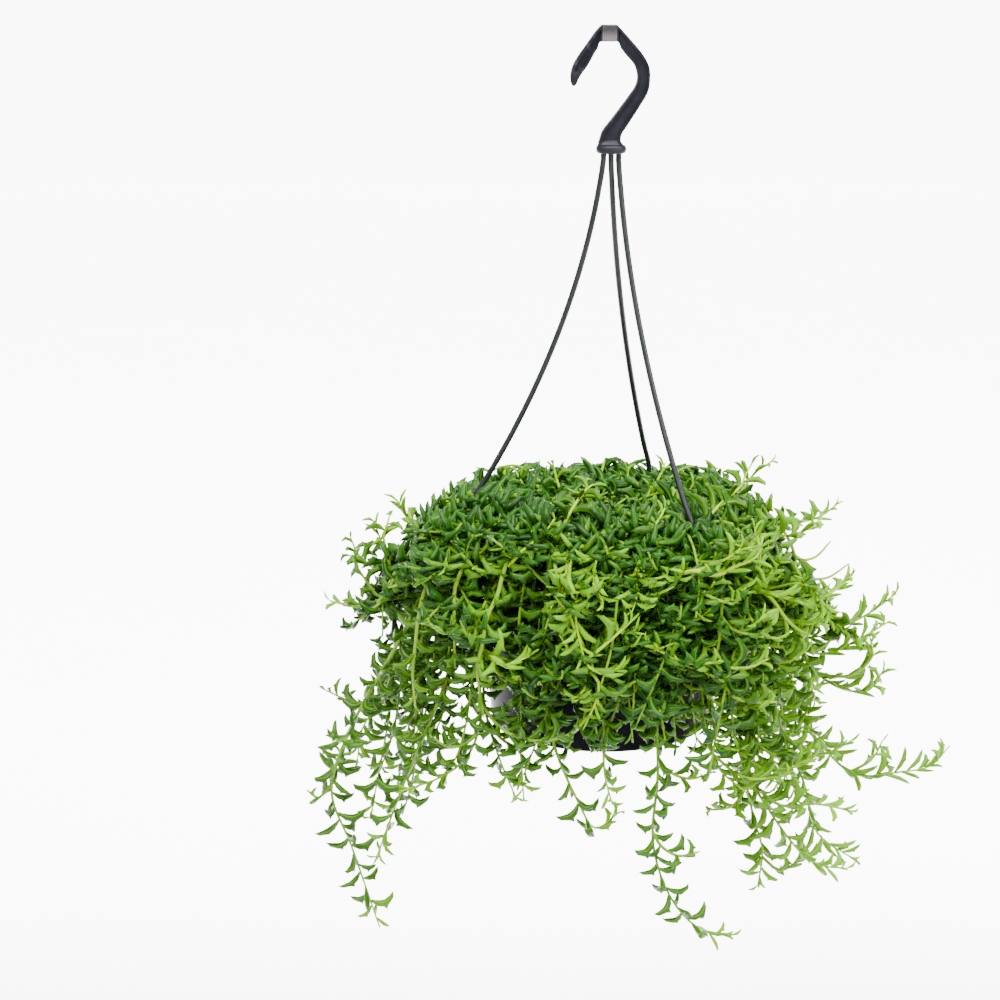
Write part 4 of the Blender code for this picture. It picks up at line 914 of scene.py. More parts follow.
barestStems = [  # older stems with few leaves that show on the outside of the mound, after how fresh they are
    (0.15, [(-76, -60, 6), (-85, -88, -3), (-91, -95, -18), (-93, -98, -29), (-94, -98, -48), (-94, -96, -69)]),
    (0.20, [(-48, -66, 8), (-63, -98, -4), (-68, -107, -17), (-74, -111, -29), (-77, -111, -45),
            (-78, -109, -66), (-75, -106, -94)]),
    (0.15, [(-70, -40, 7), (-90, -62, 0), (-102, -73, -8), (-110, -79, -19), (-114, -83, -34), (-116, -83, -58),
            (-117, -83, -75), (-117, -83, -99)]),
    (0.25, [(-34, -62, 12), (-37, -94, 10), (-31, -110, 0), (-29, -116, -18), (-24, -118, -32), (-18, -116, -50)]),
    (0.55, [(48, -60, 2), (72, -84, -15), (82, -88, -20), (96, -88, -23), (111, -82, -29), (126, -74, -34),
            (142, -66, -28), (148, -60, -23)]),
    (0.30, [(60, -66, 0), (85, -90, -17), (96, -90, -24), (108, -86, -38), (117, -81, -52), (120, -78, -60)]),
    (0.95, [(30, -84, 4), (39, -106, -3), (48, -112, -2), (62, -110, -4), (73, -105, -2), (85, -99, 5),
            (89, -95, 15)]),
]
sprigs = [  # leafy shoots with bright stems that stand out of the mound in the photo
    [(-60, -97, -3), (-54, -101, 6), (-47, -98, 11), (-39, -94, 17), (-33, -89, 24)],
    [(-29, -78, 14), (-24, -76, 23), (-14, -62, 34), (-9, -56, 36)],
    [(14, -90, 6), (21, -93, 15), (30, -84, 23), (33, -80, 28)],
    [(52, -70, 9), (57, -71, 16), (65, -64, 23), (74, -56, 29), (81, -50, 33), (84, -46, 39), (88, -42, 45)],
    [(-126, -12, -50), (-133, -20, -34), (-135, -23, -20), (-138, -24, -8), (-136, -24, 0), (-134, -22, 7)],
    [(-99, -40, -18), (-108, -48, -4), (-115, -50, 5), (-120, -50, 13), (-122, -48, 17)],
    [(-94, -23, 1), (-92, -22, 11), (-91, -21, 18), (-89, -20, 25)],
    [(86, -58, 1), (93, -62, 6), (110, -64, 6), (120, -62, 9), (130, -60, 16)],
]
moreStrings = [  # leafy strings that hang over the pot and beside it, from the outside of the rim down
    [(-89, -74, -20), (-94, -78, -42), (-98, -78, -80), (-101, -76, -106), (-108, -74, -122)],
    [(-99, -64, -22), (-104, -68, -48), (-107, -68, -82), (-113, -66, -112), (-122, -64, -130)],
    [(-120, -40, -43), (-125, -44, -68), (-128, -46, -100), (-133, -46, -130), (-141, -46, -154)],
    [(-109, -54, -38), (-112, -58, -63), (-113, -58, -102), (-117, -56, -136), (-122, -56, -163),
     (-127, -56, -180)],
    [(-79, -92, -51), (-84, -92, -90), (-87, -92, -109), (-93, -90, -129), (-102, -88, -142)],
    [(11, -98, -24), (11, -98, -49), (12, -96, -82), (15, -94, -113)],
    [(23, -96, -24), (24, -96, -50), (25, -94, -82), (29, -92, -117)],
    [(35, -92, -26), (37, -92, -51), (39, -90, -84), (42, -88, -122)],
    [(48, -86, -28), (49, -86, -53), (51, -84, -86), (55, -82, -121)],
    [(58, -78, -30), (60, -78, -56), (62, -76, -89), (65, -74, -123)],
    [(-54, -98, -36), (-53, -98, -62), (-53, -96, -91), (-52, -94, -116)],
    [(-6, -100, -48), (-4, -99, -68), (-3, -98, -91), (-1, -96, -115)],
    [(-39, -100, -42), (-39, -99, -68), (-38, -98, -95), (-35, -96, -118)],
    [(82, -70, -59), (86, -70, -91), (90, -70, -124), (95, -70, -158)],
    [(102, -60, -62), (105, -60, -102), (113, -60, -135), (120, -60, -168)],
]


def stringRoute(way):  # over the rim and down along its own way
    azimuth = math.degrees(math.atan2(way[0][1], way[0][0]))
    return routeFrom(way, *(polar(radius, azimuth, pot["rimZ"] + z) for radius, z in filler["stringOver"]))


def topAt(point):  # how high the mound stands over a place: it falls away at its shoulders and its back
    return (pot["rimZ"] + float(np.interp(point.x, filler["shoulderX"], filler["shoulderZ"]))
            - filler["backSlope"] * point.y)


def shaped(points):  # a filling stem's places, kept in the mound's outline
    kept = []
    for point in points:
        y = abs(point.y)
        y = math.copysign(min(y, filler["deepest"] + 0.2 * (y - filler["deepest"])), point.y)
        place = Vector((point.x, y, point.z))
        least = pot["rimZ"] + filler["overRim"] if place.xy.length < filler["rimZone"] else -1.0
        place.z = min(place.z, max(topAt(place) - filler["underTop"], least))
        kept.append(place)
    return kept


def spillRoutes():  # stems from all over the soil that arch over the rim and hang
    rim, lip, routes = pot["rimZ"], filler["lipRadius"], []
    for k in range(filler["spills"]):
        azimuth = (filler["goldenAngle"] * k + 24.0 * draw(k, 41)) % 360.0
        angle = math.radians(azimuth)
        if math.cos(angle) > 0.6 and draw(k, 49) < filler["thinRight"]:
            continue
        wide = filler["reachRight"] if math.cos(angle) > 0.0 else filler["reachLeft"]
        reach = 1.0 / math.hypot(math.cos(angle) / wide, math.sin(angle) / filler["reachY"])
        reach = max(reach * between(filler["shortest"], 1.0, draw(k, 42) ** 0.7), filler["leastReach"])
        root = between(*filler["root"], draw(k, 43) ** 0.6)
        lift = between(*filler["lift"], draw(k, 44))
        deepest = next((depth for start, end, depth in filler["deeper"] if start < azimuth <= end), filler["deep"])
        low = between(filler["low"], deepest, draw(k, 45) ** 0.8)
        drift = filler["drift"] * (draw(k, 46) - 0.5)
        curl = filler["curl"] * (draw(k, 47) - 0.35)
        back = azimuth - drift * 0.5
        points = [polar(root, back, rim - 0.013), polar(root * 1.04, back, rim - 0.003),
                  polar(root + (0.088 - root) * 0.45, azimuth - drift * 0.1, rim + lift),
                  polar(lip, azimuth + drift * 0.25, rim + lift * 0.85),
                  polar(lip + (reach - lip) * 0.62, azimuth + drift * 0.5, rim + lift * 0.8 + low * 0.12),
                  polar(reach, azimuth + drift * 0.8, rim + low * 0.55),
                  polar(reach + curl, azimuth + drift, rim + low)]
        if draw(k, 48) < filler["upturned"]:
            points[6] = polar(reach + 0.009, azimuth + drift * 1.3, rim + low * 0.55 + 0.009)
        for index in range(3, len(points)):
            points[index] += jitter(filler["wander"], 80, k, index)
        for point in points[2:4]:  # clear of the pot's rim
            point.z = max(point.z, rim + filler["overRim"])
        out = max(1.0, filler["clearLip"] / points[3].xy.length)
        points[3] = Vector((points[3].x * out, points[3].y * out, points[3].z))
        routes.append(smoothRoute(shaped(points), plant["step"]))
    return routes


def tuftRoutes(route, k):  # short side shoots that stand out of a hanging stem
    routes, frames = [], framesAlong(route)
    for turn in range(filler["tufts"]):
        start = min(int(len(route) * (0.34 + 0.30 * turn + 0.30 * draw(k, turn, 91))), len(route) - 2)
        base, tangent = route[start], frames[start][0]
        away = Vector((base.x, base.y, 0.0)).normalized()
        around = Vector((-away.y, away.x, 0.0)) * swing(k, turn, 92)
        out = (away * (0.5 + draw(k, turn, 93)) + around * 0.9).normalized()
        length = 0.014 + 0.020 * draw(k, turn, 94)
        rise = 0.7 * draw(k, turn, 95) - 0.15
        points = [base, base + (tangent * 0.6 + out * 0.6) * length * 0.4,
                  base + (tangent * 0.45 + out + Vector((0.0, 0.0, rise * 0.5))) * length * 0.75,
                  base + (tangent * 0.3 + out * 1.1 + Vector((0.0, 0.0, rise))) * length * 1.1]
        routes.append(smoothRoute(shaped(points), filler["fineStep"]))
    return routes


def crownRoutes():  # short shoots that stand up all over the top, tallest at the front
    rim, routes = pot["rimZ"], []
    for k in range(filler["crownShoots"]):
        share = math.sqrt((k + 0.5) / filler["crownShoots"])
        azimuth = (filler["goldenAngle"] * k + 30.0 * draw(k, 51)) % 360.0
        radius = filler["crownRadius"] * share
        front = max(0.0, -radius * math.sin(math.radians(azimuth)))
        tall = 0.003 + (0.015 + 0.10 * front) * draw(k, 52) * (1.1 - 0.3 * share)
        lean = 0.010 + 0.020 * draw(k, 53) * (0.4 + share)
        aside = 240.0 * (draw(k, 54) - 0.5)
        foot = polar(min(radius * 0.8, filler["crownFoot"]), azimuth, rim - filler["underSoil"])
        bend = polar(radius * 0.9, azimuth, rim + tall * 0.35)
        tip = polar(radius, azimuth, rim + tall) + polar(lean, azimuth + aside, 0.002 * draw(k, 55))
        routes.append(smoothRoute([foot] + shaped([bend, tip]), plant["step"]))
    return routes


def forkRoutes(stems):  # side shoots on the long stems
    routes = []
    for k, stem in enumerate(stems):
        route = stem["route"]
        if not stem["node"].startswith(("trail", "back")) or stem["kind"] != "main":
            continue
        for turn in range(1 + int(len(route) > 38)):  # a second one on the longest stems
            if draw(k, turn, 61) > filler["fork"]:
                continue
            start = int(len(route) * (0.42 + 0.30 * draw(k, turn, 62)))
            base, (tangent, side) = route[start], framesAlong(route)[start]
            angle = 6.28 * draw(k, turn, 63)
            out = side * math.cos(angle) + tangent.cross(side) * math.sin(angle)
            length = 0.018 + 0.020 * draw(k, turn, 64)
            points = [base, base + (tangent * 0.8 + out * 0.6) * length * 0.4,
                      base + (tangent * 0.75 + out * 0.9) * length * 0.75 + Vector((0, 0, 0.003)),
                      base + (tangent * 0.6 + out * 1.2) * length + Vector((0, 0, 0.010))]
            for point in points:
                point.y = min(filler["edge"], max(-filler["edge"], point.y))
            routes.append((stem["node"], smoothRoute(points, filler["fineStep"])))
    return routes


def nearestNode(route, mains):  # the piece whose stem passes nearest to this one's tail
    if route[-1].xy.length < filler["crownWithin"]:
        return "crown"
    tail = route[-4]
    return min(mains, key=lambda stem: min((tail - point).length for point in stem[1][filler["hangsFrom"]:]))[0]


def allStems():
    fixed = [tuple(point) for azimuth in hangerAzimuths.values()
             for point in smoothRoute(strandRoute(azimuth), plant["fixedStep"])]
    fixed += [tuple(point) for point in bunchCorePoints()]
    mains, crown = mainStems(), crownStems()
    held = [len(route) if name.startswith("bunch") else plant["heldMain"] for name, route in mains]
    held += [plant["heldCrown"]] * len(crown)
    routes = bendClear([route for _, route in mains + crown], np.array(fixed), held)
    mains = [(name, route) for (name, _), route in zip(mains + crown, routes)]
    shoots = sideStems(mains)
    still = fixed + [tuple(point) for _, route in mains for point in route]
    routes = bendClear([route for _, route in shoots], np.array(still), [plant["heldShoot"]] * len(shoots))
    hanging = [(name, route) for name, route in mains if name != "crown"]
    stems = []

    def add(kind, route, node=None, fresh=0.0):
        node = node or nearestNode(route, hanging)
        stems.append({"node": node, "route": route, "kind": kind, "fresh": fresh})
        return node

    for name, route in mains:
        add("main", route, name)
    for (name, _), route in zip(shoots, routes):
        add("shoot", route, name)
    for name, route in forkRoutes(stems):
        add("shoot", route, name)
    for k, route in enumerate(spillRoutes()):
        node = add("spill", route)
        for tuft in tuftRoutes(route, k):
            add("tuft", tuft, node)
    for route in crownRoutes():
        add("top", route, "crown")
    for way in limeShoots:
        add("lime", routeFrom(way), "crown")
    for k, (fresh, way) in enumerate(barestStems):
        bends = [jitter(plant["bareBend"], 85, k, index) for index in range(len(way))]
        add("bare", routeFrom([Vector(point) + bend for point, bend in zip(way, bends)]), fresh=fresh)
    for way in sprigs:
        add("sprig", routeFrom(way), fresh=filler["sprigFresh"])
    for way in moreStrings:
        add("string", stringRoute(way))
    for order, stem in enumerate(stems):  # how bright its new growth is: full on main, lime and sprig stems, else painted light that grows towards the right and a random share
        sunny = 0.05 + 0.50 * min(1.0, max(0.0, stem["route"][-1].x / 0.13))
        full = {"main": 1.0, "lime": 1.0, "sprig": 0.6}.get(stem["kind"], 0.0)
        stem["bright"] = max(full, min(1.0, sunny + 0.8 * draw(order, 98) ** 3))
    return stems


# The leaves: a fleshy crescent with a fin on its outer curve

leaf = {
    "length": 0.0190, "depth": 0.00225, "thickness": 0.00185, "sides": 6, "finLevel": 4, "finLean": 0.0004,
    "stations": (0.0, 0.12, 0.28, 0.42, 0.485, 0.55, 0.80, 1.0),
    "girths": (0.34, 0.60, 0.92, 1.0, 1.0, 0.98, 0.68, 0.0),
    "tilt": 18.0, "roll": 24.0, "moundTilt": 22.0, "moundRoll": 32.0, "turnEach": 137.5,
    "varies": (0.80, 0.34), "tipShrinks": 0.52, "tipZone": 0.026, "upright": 0.82,
    # how young it looks, with painted light: lighter towards the right and on leaves hanging beside the mound;
    # younger on a fresh sprig or another fresh stem
    "sunny": 0.34, "sunnyFrom": 0.045, "sunnyOver": 0.085, "hanging": 0.26, "sprigShare": 0.28, "freshShare": 0.75,
    "firstAt": {"tuft": 0.004, "top": 0.006, "shoot": 0.010, "lime": 0.010, "sprig": 0.007}, "firstElse": 0.016,
    "boxMargin": 0.0026, "strandGap": 0.0032, "overTop": 0.017, "overLeast": 0.003, "overTip": 0.006,
    # how far a leaf turns round its stem, tried one by one until it has room
    "turns": (0.0, 0.6, -0.6, 1.3, -1.3, 2.1, -2.1, 3.1), "fewTurns": (0.0, 0.5, -0.5, 1.0, -1.0, 3.1),
    "variants": [  # slant from the stem, opening in degrees, fin height, second fin, girth, twist in degrees
        (34.0, 98.0, 0.0021, 0.0, 1.0, 10.0), (30.0, 114.0, 0.0023, 0.0009, 1.06, -12.0),
        (42.0, 72.0, 0.0018, 0.0, 0.92, 18.0), (36.0, 124.0, 0.0021, 0.0, 0.98, -20.0),
        (18.0, 56.0, 0.0008, 0.0, 0.72, 6.0)],
}


def bendAt(t, slant, opening):  # a leaf's direction at a share of its length: it bends more past its middle
    start, end = math.radians(slant), math.radians(slant + opening)
    return start + (end - start) * (0.35 * t + 0.65 * t * t * (3.0 - 2.0 * t))


def spineStep(t, slant, opening, length):
    angle = bendAt(t, slant, opening)
    return Vector((math.sin(angle), 0.0, math.cos(angle))) * length


def leafMesh(name, slant, opening, fin, secondFin, girth, twist):
    sides = leaf["sides"]
    place = Vector((plant["stem"] * 0.5, 0.0, 0.0))
    points, along, crest, rings = [], [], [], []
    before = 0.0
    for level, (station, size) in enumerate(zip(leaf["stations"], leaf["girths"])):
        for k in range(6):
            t = before + (station - before) * (k + 0.5) / 6
            place = place + spineStep(t, slant, opening, leaf["length"] * (station - before) / 6)
        before = station
        angle, lean = bendAt(station, slant, opening), math.radians(twist) * station * 1.6
        up, side = Vector((-math.cos(angle), 0.0, math.sin(angle))), Vector((0.0, 1.0, 0.0))
        # up points towards the outer curve, and both turn with the leaf's twist
        up, side = up * math.cos(lean) + side * math.sin(lean), side * math.cos(lean) - up * math.sin(lean)
        count = sides if size else 1
        rings.append(list(range(len(points), len(points) + count)))
        for k in range(count):
            turn = 2.0 * math.pi * k / sides
            reach = up * math.cos(turn) * leaf["depth"] * size * girth
            if k == 0 and level == leaf["finLevel"]:  # the fin leans a little towards the leaf's tip
                reach = reach + up * fin + up.cross(side) * leaf["finLean"]
            if k == 1 and level == leaf["finLevel"] + 1 and secondFin:
                reach = reach + (up + side).normalized() * secondFin
            points.append(place + reach + side * math.sin(turn) * leaf["thickness"] * size * girth)
            along.append(station)
            crest.append(math.cos(turn) if size else 0.0)
    mesh = meshFrom(name, points, [list(reversed(rings[0]))] + bridged(rings, sides))
    for label, values in (("along", along), ("crest", crest)):
        mesh.attributes.new(label, "FLOAT", "POINT").data.foreach_set("value", values)
    return mesh


def leafReach(slant, opening):  # a few places along a leaf's spine, to try it against the pot, the strands and the mound's outline
    place, places = Vector((0.0, 0.0, 0.0)), []
    for k in range(12):
        place = place + spineStep((k + 0.5) / 12, slant, opening, leaf["length"] / 12)
        if k in (4, 7, 9, 11):
            places.append(place.copy())
    return places


def hitsPot(point):  # or the soil, with a millimetre or so to spare
    rim, radius = pot["rimZ"], point.xy.length
    if not rim - pot["height"] - 0.001 < point.z < rim + 0.0012:
        return False
    outside = pot["flangeRadius"] + 0.001 if point.z > rim - 0.004 else potRadius(point.z) + 0.0014
    inside = potRadius(point.z) - pot["wall"] - 0.0012
    return inside < radius < outside or (radius <= inside and point.z < rim - soil["belowRim"] + 0.001)


def isFree(points, strands, slack, highest):
    low, high, margin = cadBox[0], cadBox[1], leaf["boxMargin"]
    for point in points:
        if point.z > highest or (slack is not None and point.z > topAt(point) + slack):
            return False
        if any(point[i] < low[i] + margin or point[i] > high[i] - margin for i in range(3)) or hitsPot(point):
            return False
        for heights, across, away in strands:
            near = np.interp(point.z, heights, across), np.interp(point.z, heights, away)
            if point.z > heights[0] and math.hypot(point.x - near[0], point.y - near[1]) < leaf["strandGap"]:
                return False
    return True


def youthAndPaintedLightOf(stem, along, total, x, mound):  # from 0 for an old deep green leaf to 1 for a new lime one
    youthAndPaintedLight = max(0.0, 1.0 - (total - along) / plant["youngLength"]) * stem["bright"]
    if stem["kind"] == "lime":
        youthAndPaintedLight = max(youthAndPaintedLight, 1.2 * along / total - 0.1)
    youthAndPaintedLight = max(youthAndPaintedLight, leaf["sprigShare" if stem["kind"] == "sprig" else "freshShare"] * stem["fresh"])
    # Painted light: leaves towards the right are painted younger and lighter, for the brighter light there.
    youthAndPaintedLight += leaf["sunny"] * min(1.0, max(0.0, (x - leaf["sunnyFrom"]) / leaf["sunnyOver"]))
    # Painted light: leaves that hang clear of the mound are painted younger and lighter, for the brighter light
    # there.
    return min(1.0, youthAndPaintedLight if mound else youthAndPaintedLight + leaf["hanging"])


def leavesAlong(stem, order, strands, reaches):  # foot, rotation, size, youth, variant and tone of each leaf
    route, kind, node = stem["route"], stem["kind"], stem["node"]
    lengths, frames = lengthsAlong(route), framesAlong(route)
    total = lengths[-1]
    mound = kind in ("spill", "tuft", "top", "lime", "sprig") or node.startswith(("bunch", "crown"))
    capped = kind in ("spill", "tuft", "top") or (node.startswith(("bunch", "back")) and kind != "sprig")
    upright = kind == "main" and node == "crown"
    gap = plant["bareGap" if kind == "bare" else "moundGap" if mound else "trailGap"]
    full = plant["moundLeaf" if mound else "trailLeaf"]
    roll, tilt = (leaf["moundRoll"], leaf["moundTilt"]) if mound else (leaf["roll"], leaf["tilt"])
    highest = route[-1].z + leaf["overTip"] if upright else 1.0
    turns = leaf["fewTurns" if kind in ("spill", "top") else "turns"]
    least, more = leaf["varies"]
    along = leaf["firstAt"].get(kind, leaf["firstElse"])
    tone, count, found = draw(order, 71), 0, []
    while along < total + 0.0005:
        k = min(int(np.searchsorted(lengths, along, side="right")) - 1, len(route) - 2)
        part = (along - lengths[k]) / max(lengths[k + 1] - lengths[k], 1e-6)
        foot = route[k].lerp(route[k + 1], min(1.0, part))
        tangent, side = frames[k]
        other = tangent.cross(side)
        youthAndPaintedLight = youthAndPaintedLightOf(stem, along, total, foot.x, mound)
        size = full * (least + more * draw(order, count, 72))
        size *= 1.0 - leaf["tipShrinks"] * max(0.0, 1.0 - (total - along) / leaf["tipZone"]) ** 1.3
        size *= leaf["upright"] if upright else 1.0
        variant = int(draw(order, count, 73) * 4.0)
        if youthAndPaintedLight >= 0.6:  # a new leaf is straighter
            variant = 4 if draw(order, count, 74) < 0.6 else 2
        loose = (Matrix.Rotation(math.radians(roll) * swing(order, count, 78), 3, "X")
                 @ Matrix.Rotation(math.radians(tilt) * swing(order, count, 79), 3, "Y"))
        slack = leaf["overTop"] * draw(order, count, 82) ** 1.7 - leaf["overLeast"] if capped else None
        for nudge in turns:
            angle = math.radians(leaf["turnEach"]) * count + 6.28 * draw(order, 75) + nudge
            outward = side * math.cos(angle) + other * math.sin(angle)
            if outward.z < -0.25 and abs(tangent.z) < 0.75 and nudge < 3.0:
                continue
            axes = Matrix((outward, tangent.cross(outward), tangent)).transposed() @ loose
            if isFree([foot + axes @ place * size for place in reaches[variant]], strands, slack, highest):
                shade = 0.6 * tone + 0.4 * draw(order, count, 76)
                found.append((foot, axes.to_quaternion(), size, youthAndPaintedLight, variant, shade))
                break
        along += gap * (0.72 + 0.5 * draw(order, count, 77)) * (1.0 - 0.45 * youthAndPaintedLight)
        count += 1
    return found


def leafyTree():  # stems as tapered tubes, and a leaf on each loose point
    tree, given, result, sockets = newTree("leafyStems", [
        ("Leaves", "Collection", None), ("Stem Sides", "Int", 6), ("Leaf Length", "Float", 1.0),
        ("Leaf Finish", "Material", None), ("Stem Finish", "Material", None)])
    split = addNode(tree, "GeometryNodeSeparateGeometry", {"domain": "POINT"},
                    Geometry=given["Geometry"], Selection=attribute(tree, "isLeaf", "BOOLEAN"))
    shapes = addNode(tree, "GeometryNodeCollectionInfo", Collection=given["Leaves"],
                     SeparateChildren=True, ResetChildren=True)
    scale = reckon(tree, "MULTIPLY", attribute(tree, "size", "FLOAT"), given["Leaf Length"])
    placed = addNode(tree, "GeometryNodeInstanceOnPoints", Points=outOf(split, "Selection"),
                     Instance=outOf(shapes), PickInstance=True,
                     InstanceIndex=attribute(tree, "variant", "INT"),
                     Rotation=attribute(tree, "turn", "QUATERNION"), Scale=scale)
    green = finished(tree, outOf(placed), given["Leaf Finish"])
    body = tubeAlong(tree, outOf(split, "Inverted"), given["Stem Sides"], 1.0,
                     Scale=attribute(tree, "girth", "FLOAT"))
    bark = finished(tree, body, given["Stem Finish"])
    tree.links.new(joined(tree, bark, green), result)
    return tree, sockets


def stemGirth(stem):
    if stem["kind"] == "bare":
        return plant["stem"] * plant["bareStem"]
    if stem["kind"] == "spill":
        return (plant["stem"] + plant["shoot"]) / 2.0
    return plant["stem" if stem["kind"] == "main" and stem["node"] != "crown" else "shoot"]


def stemChain(stems, leaves):  # the tree's input: chains of edges, then one loose point per leaf
    points, edges, girth, youthAndPaintedLight, tone = [], [], [], [], []
    for order, stem in stems:
        first, thick, lengths = len(points), stemGirth(stem), lengthsAlong(stem["route"])
        total = lengths[-1]
        for k, (point, gone) in enumerate(zip(stem["route"], lengths)):
            share = gone / total
            points.append(point)
            girth.append(between(thick, plant["tip"], share ** plant["taper"]))
            # The stem's bright value carries painted light that grows towards the right.
            fresh = max(0.0, 1.0 - (total - gone) / (plant["youngLength"] * 1.6)) * stem["bright"]
            fresh = max(fresh, stem["fresh"])
            youthAndPaintedLight.append(max(fresh, 0.35 + 0.55 * share) if stem["kind"] == "lime" else fresh)
            tone.append(draw(order, 71))
            if k:
                edges.append((first + k - 1, first + k))
    count = len(points)
    mesh = bpy.data.meshes.new("chain")
    mesh.from_pydata(points + [item[0] for item in leaves], edges, [])
    turns = [1.0, 0.0, 0.0, 0.0] * count
    for item in leaves:
        turns += list(item[1])
    sizes, leafYouthsAndPaintedLight, variants, tones = ([item[part] for item in leaves] for part in (2, 3, 4, 5))
    for label, kind, values in (
            ("isLeaf", "BOOLEAN", [False] * count + [True] * len(leaves)),
            ("girth", "FLOAT", girth + [0.001] * len(leaves)), ("turn", "QUATERNION", turns),
            ("size", "FLOAT", [1.0] * count + sizes), ("youthAndPaintedLight", "FLOAT", youthAndPaintedLight + leafYouthsAndPaintedLight),
            ("variant", "INT", [0] * count + variants), ("tone", "FLOAT", tone + tones)):
        mesh.attributes.new(label, kind, "POINT").data.foreach_set("value", values)
    return mesh


greens = {
    "deep": (0.0042, 0.0270, 0.0016), "mid": (0.0175, 0.0800, 0.0036), "lime": (0.145, 0.345, 0.001),
    "edge": (0.080, 0.230, 0.010), "base": (0.100, 0.260, 0.006), "stem": (0.140, 0.290, 0.010),
    "youngStem": (0.300, 0.480, 0.006), "blush": (0.220, 0.085, 0.015), "darkStem": (0.050, 0.135, 0.005),
    "paleStem": (0.210, 0.350, 0.030),
}
fleshy = {"Subsurface Weight": 0.12, "Subsurface Radius": (0.4, 1.0, 0.15), "Subsurface Scale": 0.0016}


def leafMaterial():
    material, tree, shader, places = newMaterial("dolphinLeaf", 0.40, 0.16)
    youthAndPaintedLight, tone, along, crest = (fact(tree, name) for name in ("youthAndPaintedLight", "tone", "along", "crest"))
    mottle = noiseOf(tree, places, 420.0, 4.0)
    broad = reckon(tree, "ADD", tone, reckon(tree, "MULTIPLY", noiseOf(tree, places, 38.0), 0.7))
    colour = mixed(tree, span(tree, broad, 0.35, 1.25), greens["deep"], greens["mid"])
    colour = mixed(tree, span(tree, mottle, 0.45, 0.75, 0.0, 0.35), colour, greens["mid"])
    colour = mixed(tree, span(tree, along, 0.0, 0.22, 0.75, 0.0), colour, greens["base"])
    line = reckon(tree, "MULTIPLY", span(tree, crest, -0.75, -0.5), span(tree, crest, -0.5, -0.1, 1.0, 0.0))
    colour = mixed(tree, reckon(tree, "MULTIPLY", line, 0.65), colour, greens["edge"])
    # Lime for young leaves, and for the painted light at the right and on hanging leaves.
    colour = mixed(tree, span(tree, youthAndPaintedLight, 0.05, 0.95, 0.0, 0.95), colour, greens["lime"])
    colour = mixed(tree, span(tree, along, 0.965, 1.0, 0.0, 0.45), colour, greens["blush"])
    for label, value in fleshy.items():
        shader.inputs[label].default_value = value
    dress(tree, shader, colour, span(tree, mottle, 0.3, 0.7, 0.27, 0.44), mottle, 0.18, 0.00018)
    return material


def stemMaterial():
    material, tree, shader, places = newMaterial("dolphinStem", 0.42, 0.20)
    fine, patch = noiseOf(tree, places, 800.0), noiseOf(tree, places, 95.0)
    colour = mixed(tree, span(tree, fact(tree, "tone"), 0.1, 0.9, 0.0, 0.5), greens["stem"], greens["darkStem"])
    colour = mixed(tree, span(tree, patch, 0.62, 0.80, 0.0, 0.55), colour, greens["blush"])
    # Young-stem green where the stem is fresh, and where the painted light at the right brightens it.
    colour = mixed(tree, fact(tree, "youthAndPaintedLight"), colour, greens["youngStem"])
    colour = mixed(tree, span(tree, fine, 0.45, 0.75, 0.0, 0.3), colour, greens["paleStem"])
    dress(tree, shader, colour, span(tree, fine, 0.3, 0.7, 0.36, 0.52), fine, 0.25, 0.00015)
    return material


def makePlant():
    shapes = bpy.data.collections.new("leafShapes")
    for k, traits in enumerate(leaf["variants"]):
        name = "leafShape%d" % k
        shapes.objects.link(bpy.data.objects.new(name, leafMesh(name, *traits)))
    reaches = [leafReach(*traits[:2]) for traits in leaf["variants"]]
    strands = []
    for azimuth in hangerAzimuths.values():
        route = sorted(smoothRoute(strandRoute(azimuth), filler["fineStep"]), key=lambda point: point.z)
        strands.append(([p.z for p in route], [p.x for p in route], [p.y for p in route]))
    groups = {}
    for order, stem in enumerate(allStems()):
        groups.setdefault(stem["node"], []).append((order, stem))
    tree, sockets = leafyTree()
    leafFinish, stemFinish = leafMaterial(), stemMaterial()
    stemCount, leafCount = 0, 0
    for node, members in groups.items():
        leaves, shown = [], []
        for order, stem in members:
            found, route = leavesAlong(stem, order, strands, reaches), stem["route"]
            if stem["kind"] in ("spill", "tuft", "top"):  # no bare ends
                if len(found) < 3:
                    continue
                last = min(range(len(route)), key=lambda k: (route[k] - found[-1][0]).length)
                stem["route"] = route[:max(last + 2, 3)]
            leaves += found
            shown.append((order, stem))
        stemCount, leafCount = stemCount + len(shown), leafCount + len(leaves)
        body = runTree(tree, sockets, stemChain(shown, leaves), {
            "Leaves": shapes, "Stem Sides": plant["stemSides"], "Leaf Length": 1.0,
            "Leaf Finish": leafFinish, "Stem Finish": stemFinish})
        addPiece("leafy_" + node, body, [node])
    for shape in list(shapes.objects):
        bpy.data.objects.remove(shape)
    bpy.data.collections.remove(shapes)
    print("stems:", stemCount, "leaves:", leafCount, "pieces:", len(groups))


# The stage: a wide pale floor, soft light and the camera

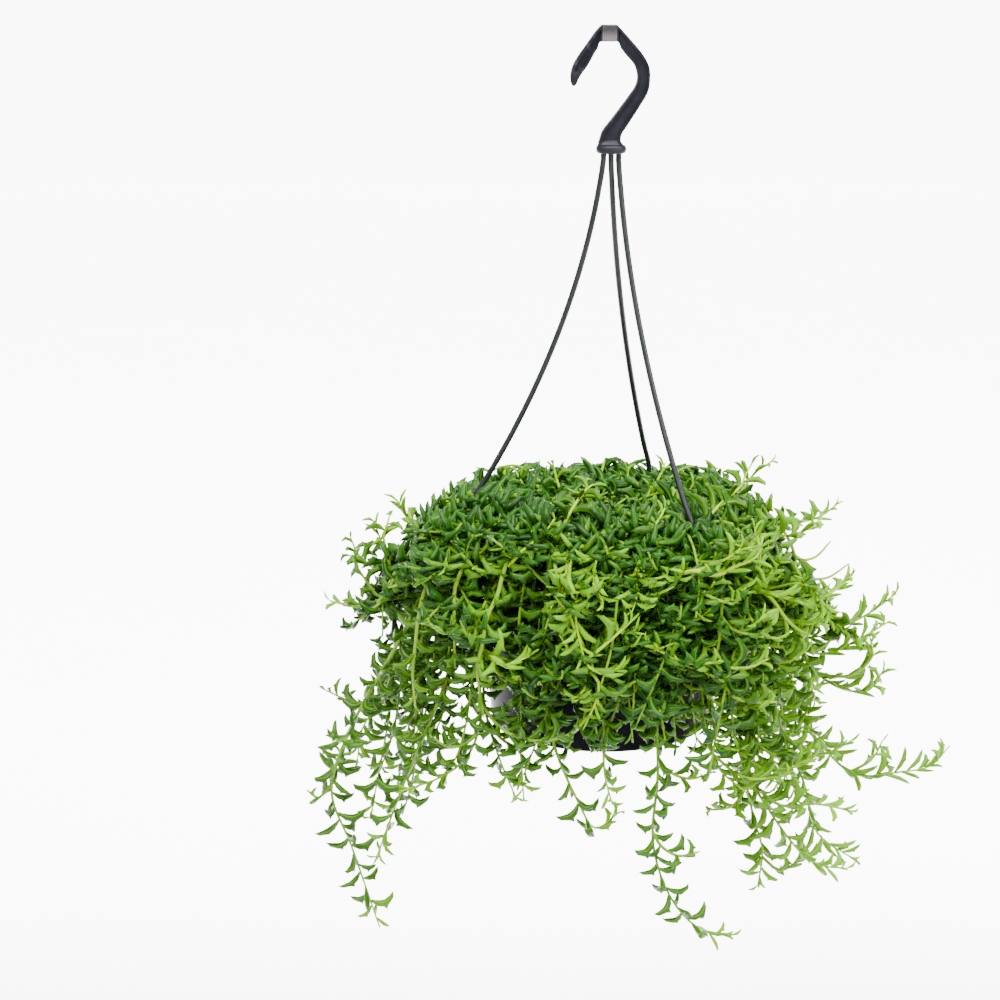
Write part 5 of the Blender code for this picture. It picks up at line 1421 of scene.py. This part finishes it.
stage = {
    "floorZ": -0.90, "floorSize": 60.0, "floorColours": ((0.86, 0.87, 0.88), (0.90, 0.90, 0.90)), "world": 0.66,
    "target": (-0.0655, 0.0, -0.2861), "distance": 1.6, "elevation": 16.2, "lens": 91.44, "sensor": 36.0,
    "lights": [  # name, place, size, power
        ("keyLight", (-0.9, -1.5, 1.6), 1.0, 112.0), ("fillLight", (1.6, -1.2, 0.7), 1.4, 66.0),
        ("topLight", (0.3, -0.35, 2.0), 1.2, 126.0), ("rimLight", (0.5, 1.6, 0.9), 1.6, 24.0)],
    "washes": [  # low lights that face the floor alone: middle, size, power
        ((0.0, 2.85, -0.62), 4.8, 760.0), ((0.0, 8.75, -0.56), 7.0, 1620.0), ((0.0, 18.3, -0.40), 12.0, 4800.0)],
}


def addLamp(name, shape, place, size, power):
    light = bpy.data.lights.new(name, "AREA")
    light.shape, light.size, light.energy = shape, size, power
    lamp = newObject(name, light)
    lamp.location = place
    return lamp


def makeStage():
    half = stage["floorSize"] / 2.0
    floor = bpy.data.meshes.new("paleFloor")
    corners = ((-half, -half), (half, -half), (half, half), (-half, half))
    floor.from_pydata([(x, y, stage["floorZ"]) for x, y in corners], [], [(0, 1, 2, 3)])
    material, tree, shader, places = newMaterial("paleFloor", 0.85, 0.2)
    tree.links.new(mixed(tree, noiseOf(tree, places, 3.0), *stage["floorColours"]), shader.inputs["Base Color"])
    floor.materials.append(material)
    piece = newObject("paleFloor", floor)
    world = bpy.data.worlds.new("studio")
    bpy.context.scene.world = world
    world.use_nodes = True
    background = world.node_tree.nodes["Background"]
    background.inputs["Color"].default_value = (1.0, 1.0, 1.0, 1.0)
    background.inputs["Strength"].default_value = stage["world"]
    target = Vector(stage["target"])
    for name, place, size, power in stage["lights"]:
        lamp = addLamp(name, "DISK", place, size, power)
        lamp.rotation_euler = (target - Vector(place)).to_track_quat("-Z", "Y").to_euler()
    for place, size, power in stage["washes"]:
        addLamp("floorWash", "SQUARE", place, size, power)
    tilt = math.radians(stage["elevation"])
    lens = bpy.data.cameras.new("photoCamera")
    lens.lens, lens.sensor_width, lens.clip_end = stage["lens"], stage["sensor"], 200.0
    camera = newObject("photoCamera", lens)
    camera.location = target + Vector((0.0, -math.cos(tilt), math.sin(tilt))) * stage["distance"]
    camera.rotation_euler = (math.pi / 2.0 - tilt, 0.0, 0.0)
    bpy.context.scene.camera = camera


for label, make in (("stage and camera", makeStage), ("pot", makePot), ("soil", makeSoil), ("hook", makeHook),
                    ("strands", makeStrands), ("plant", makePlant)):
    make()
    print(label, "done")
bpy.context.view_layer.update()
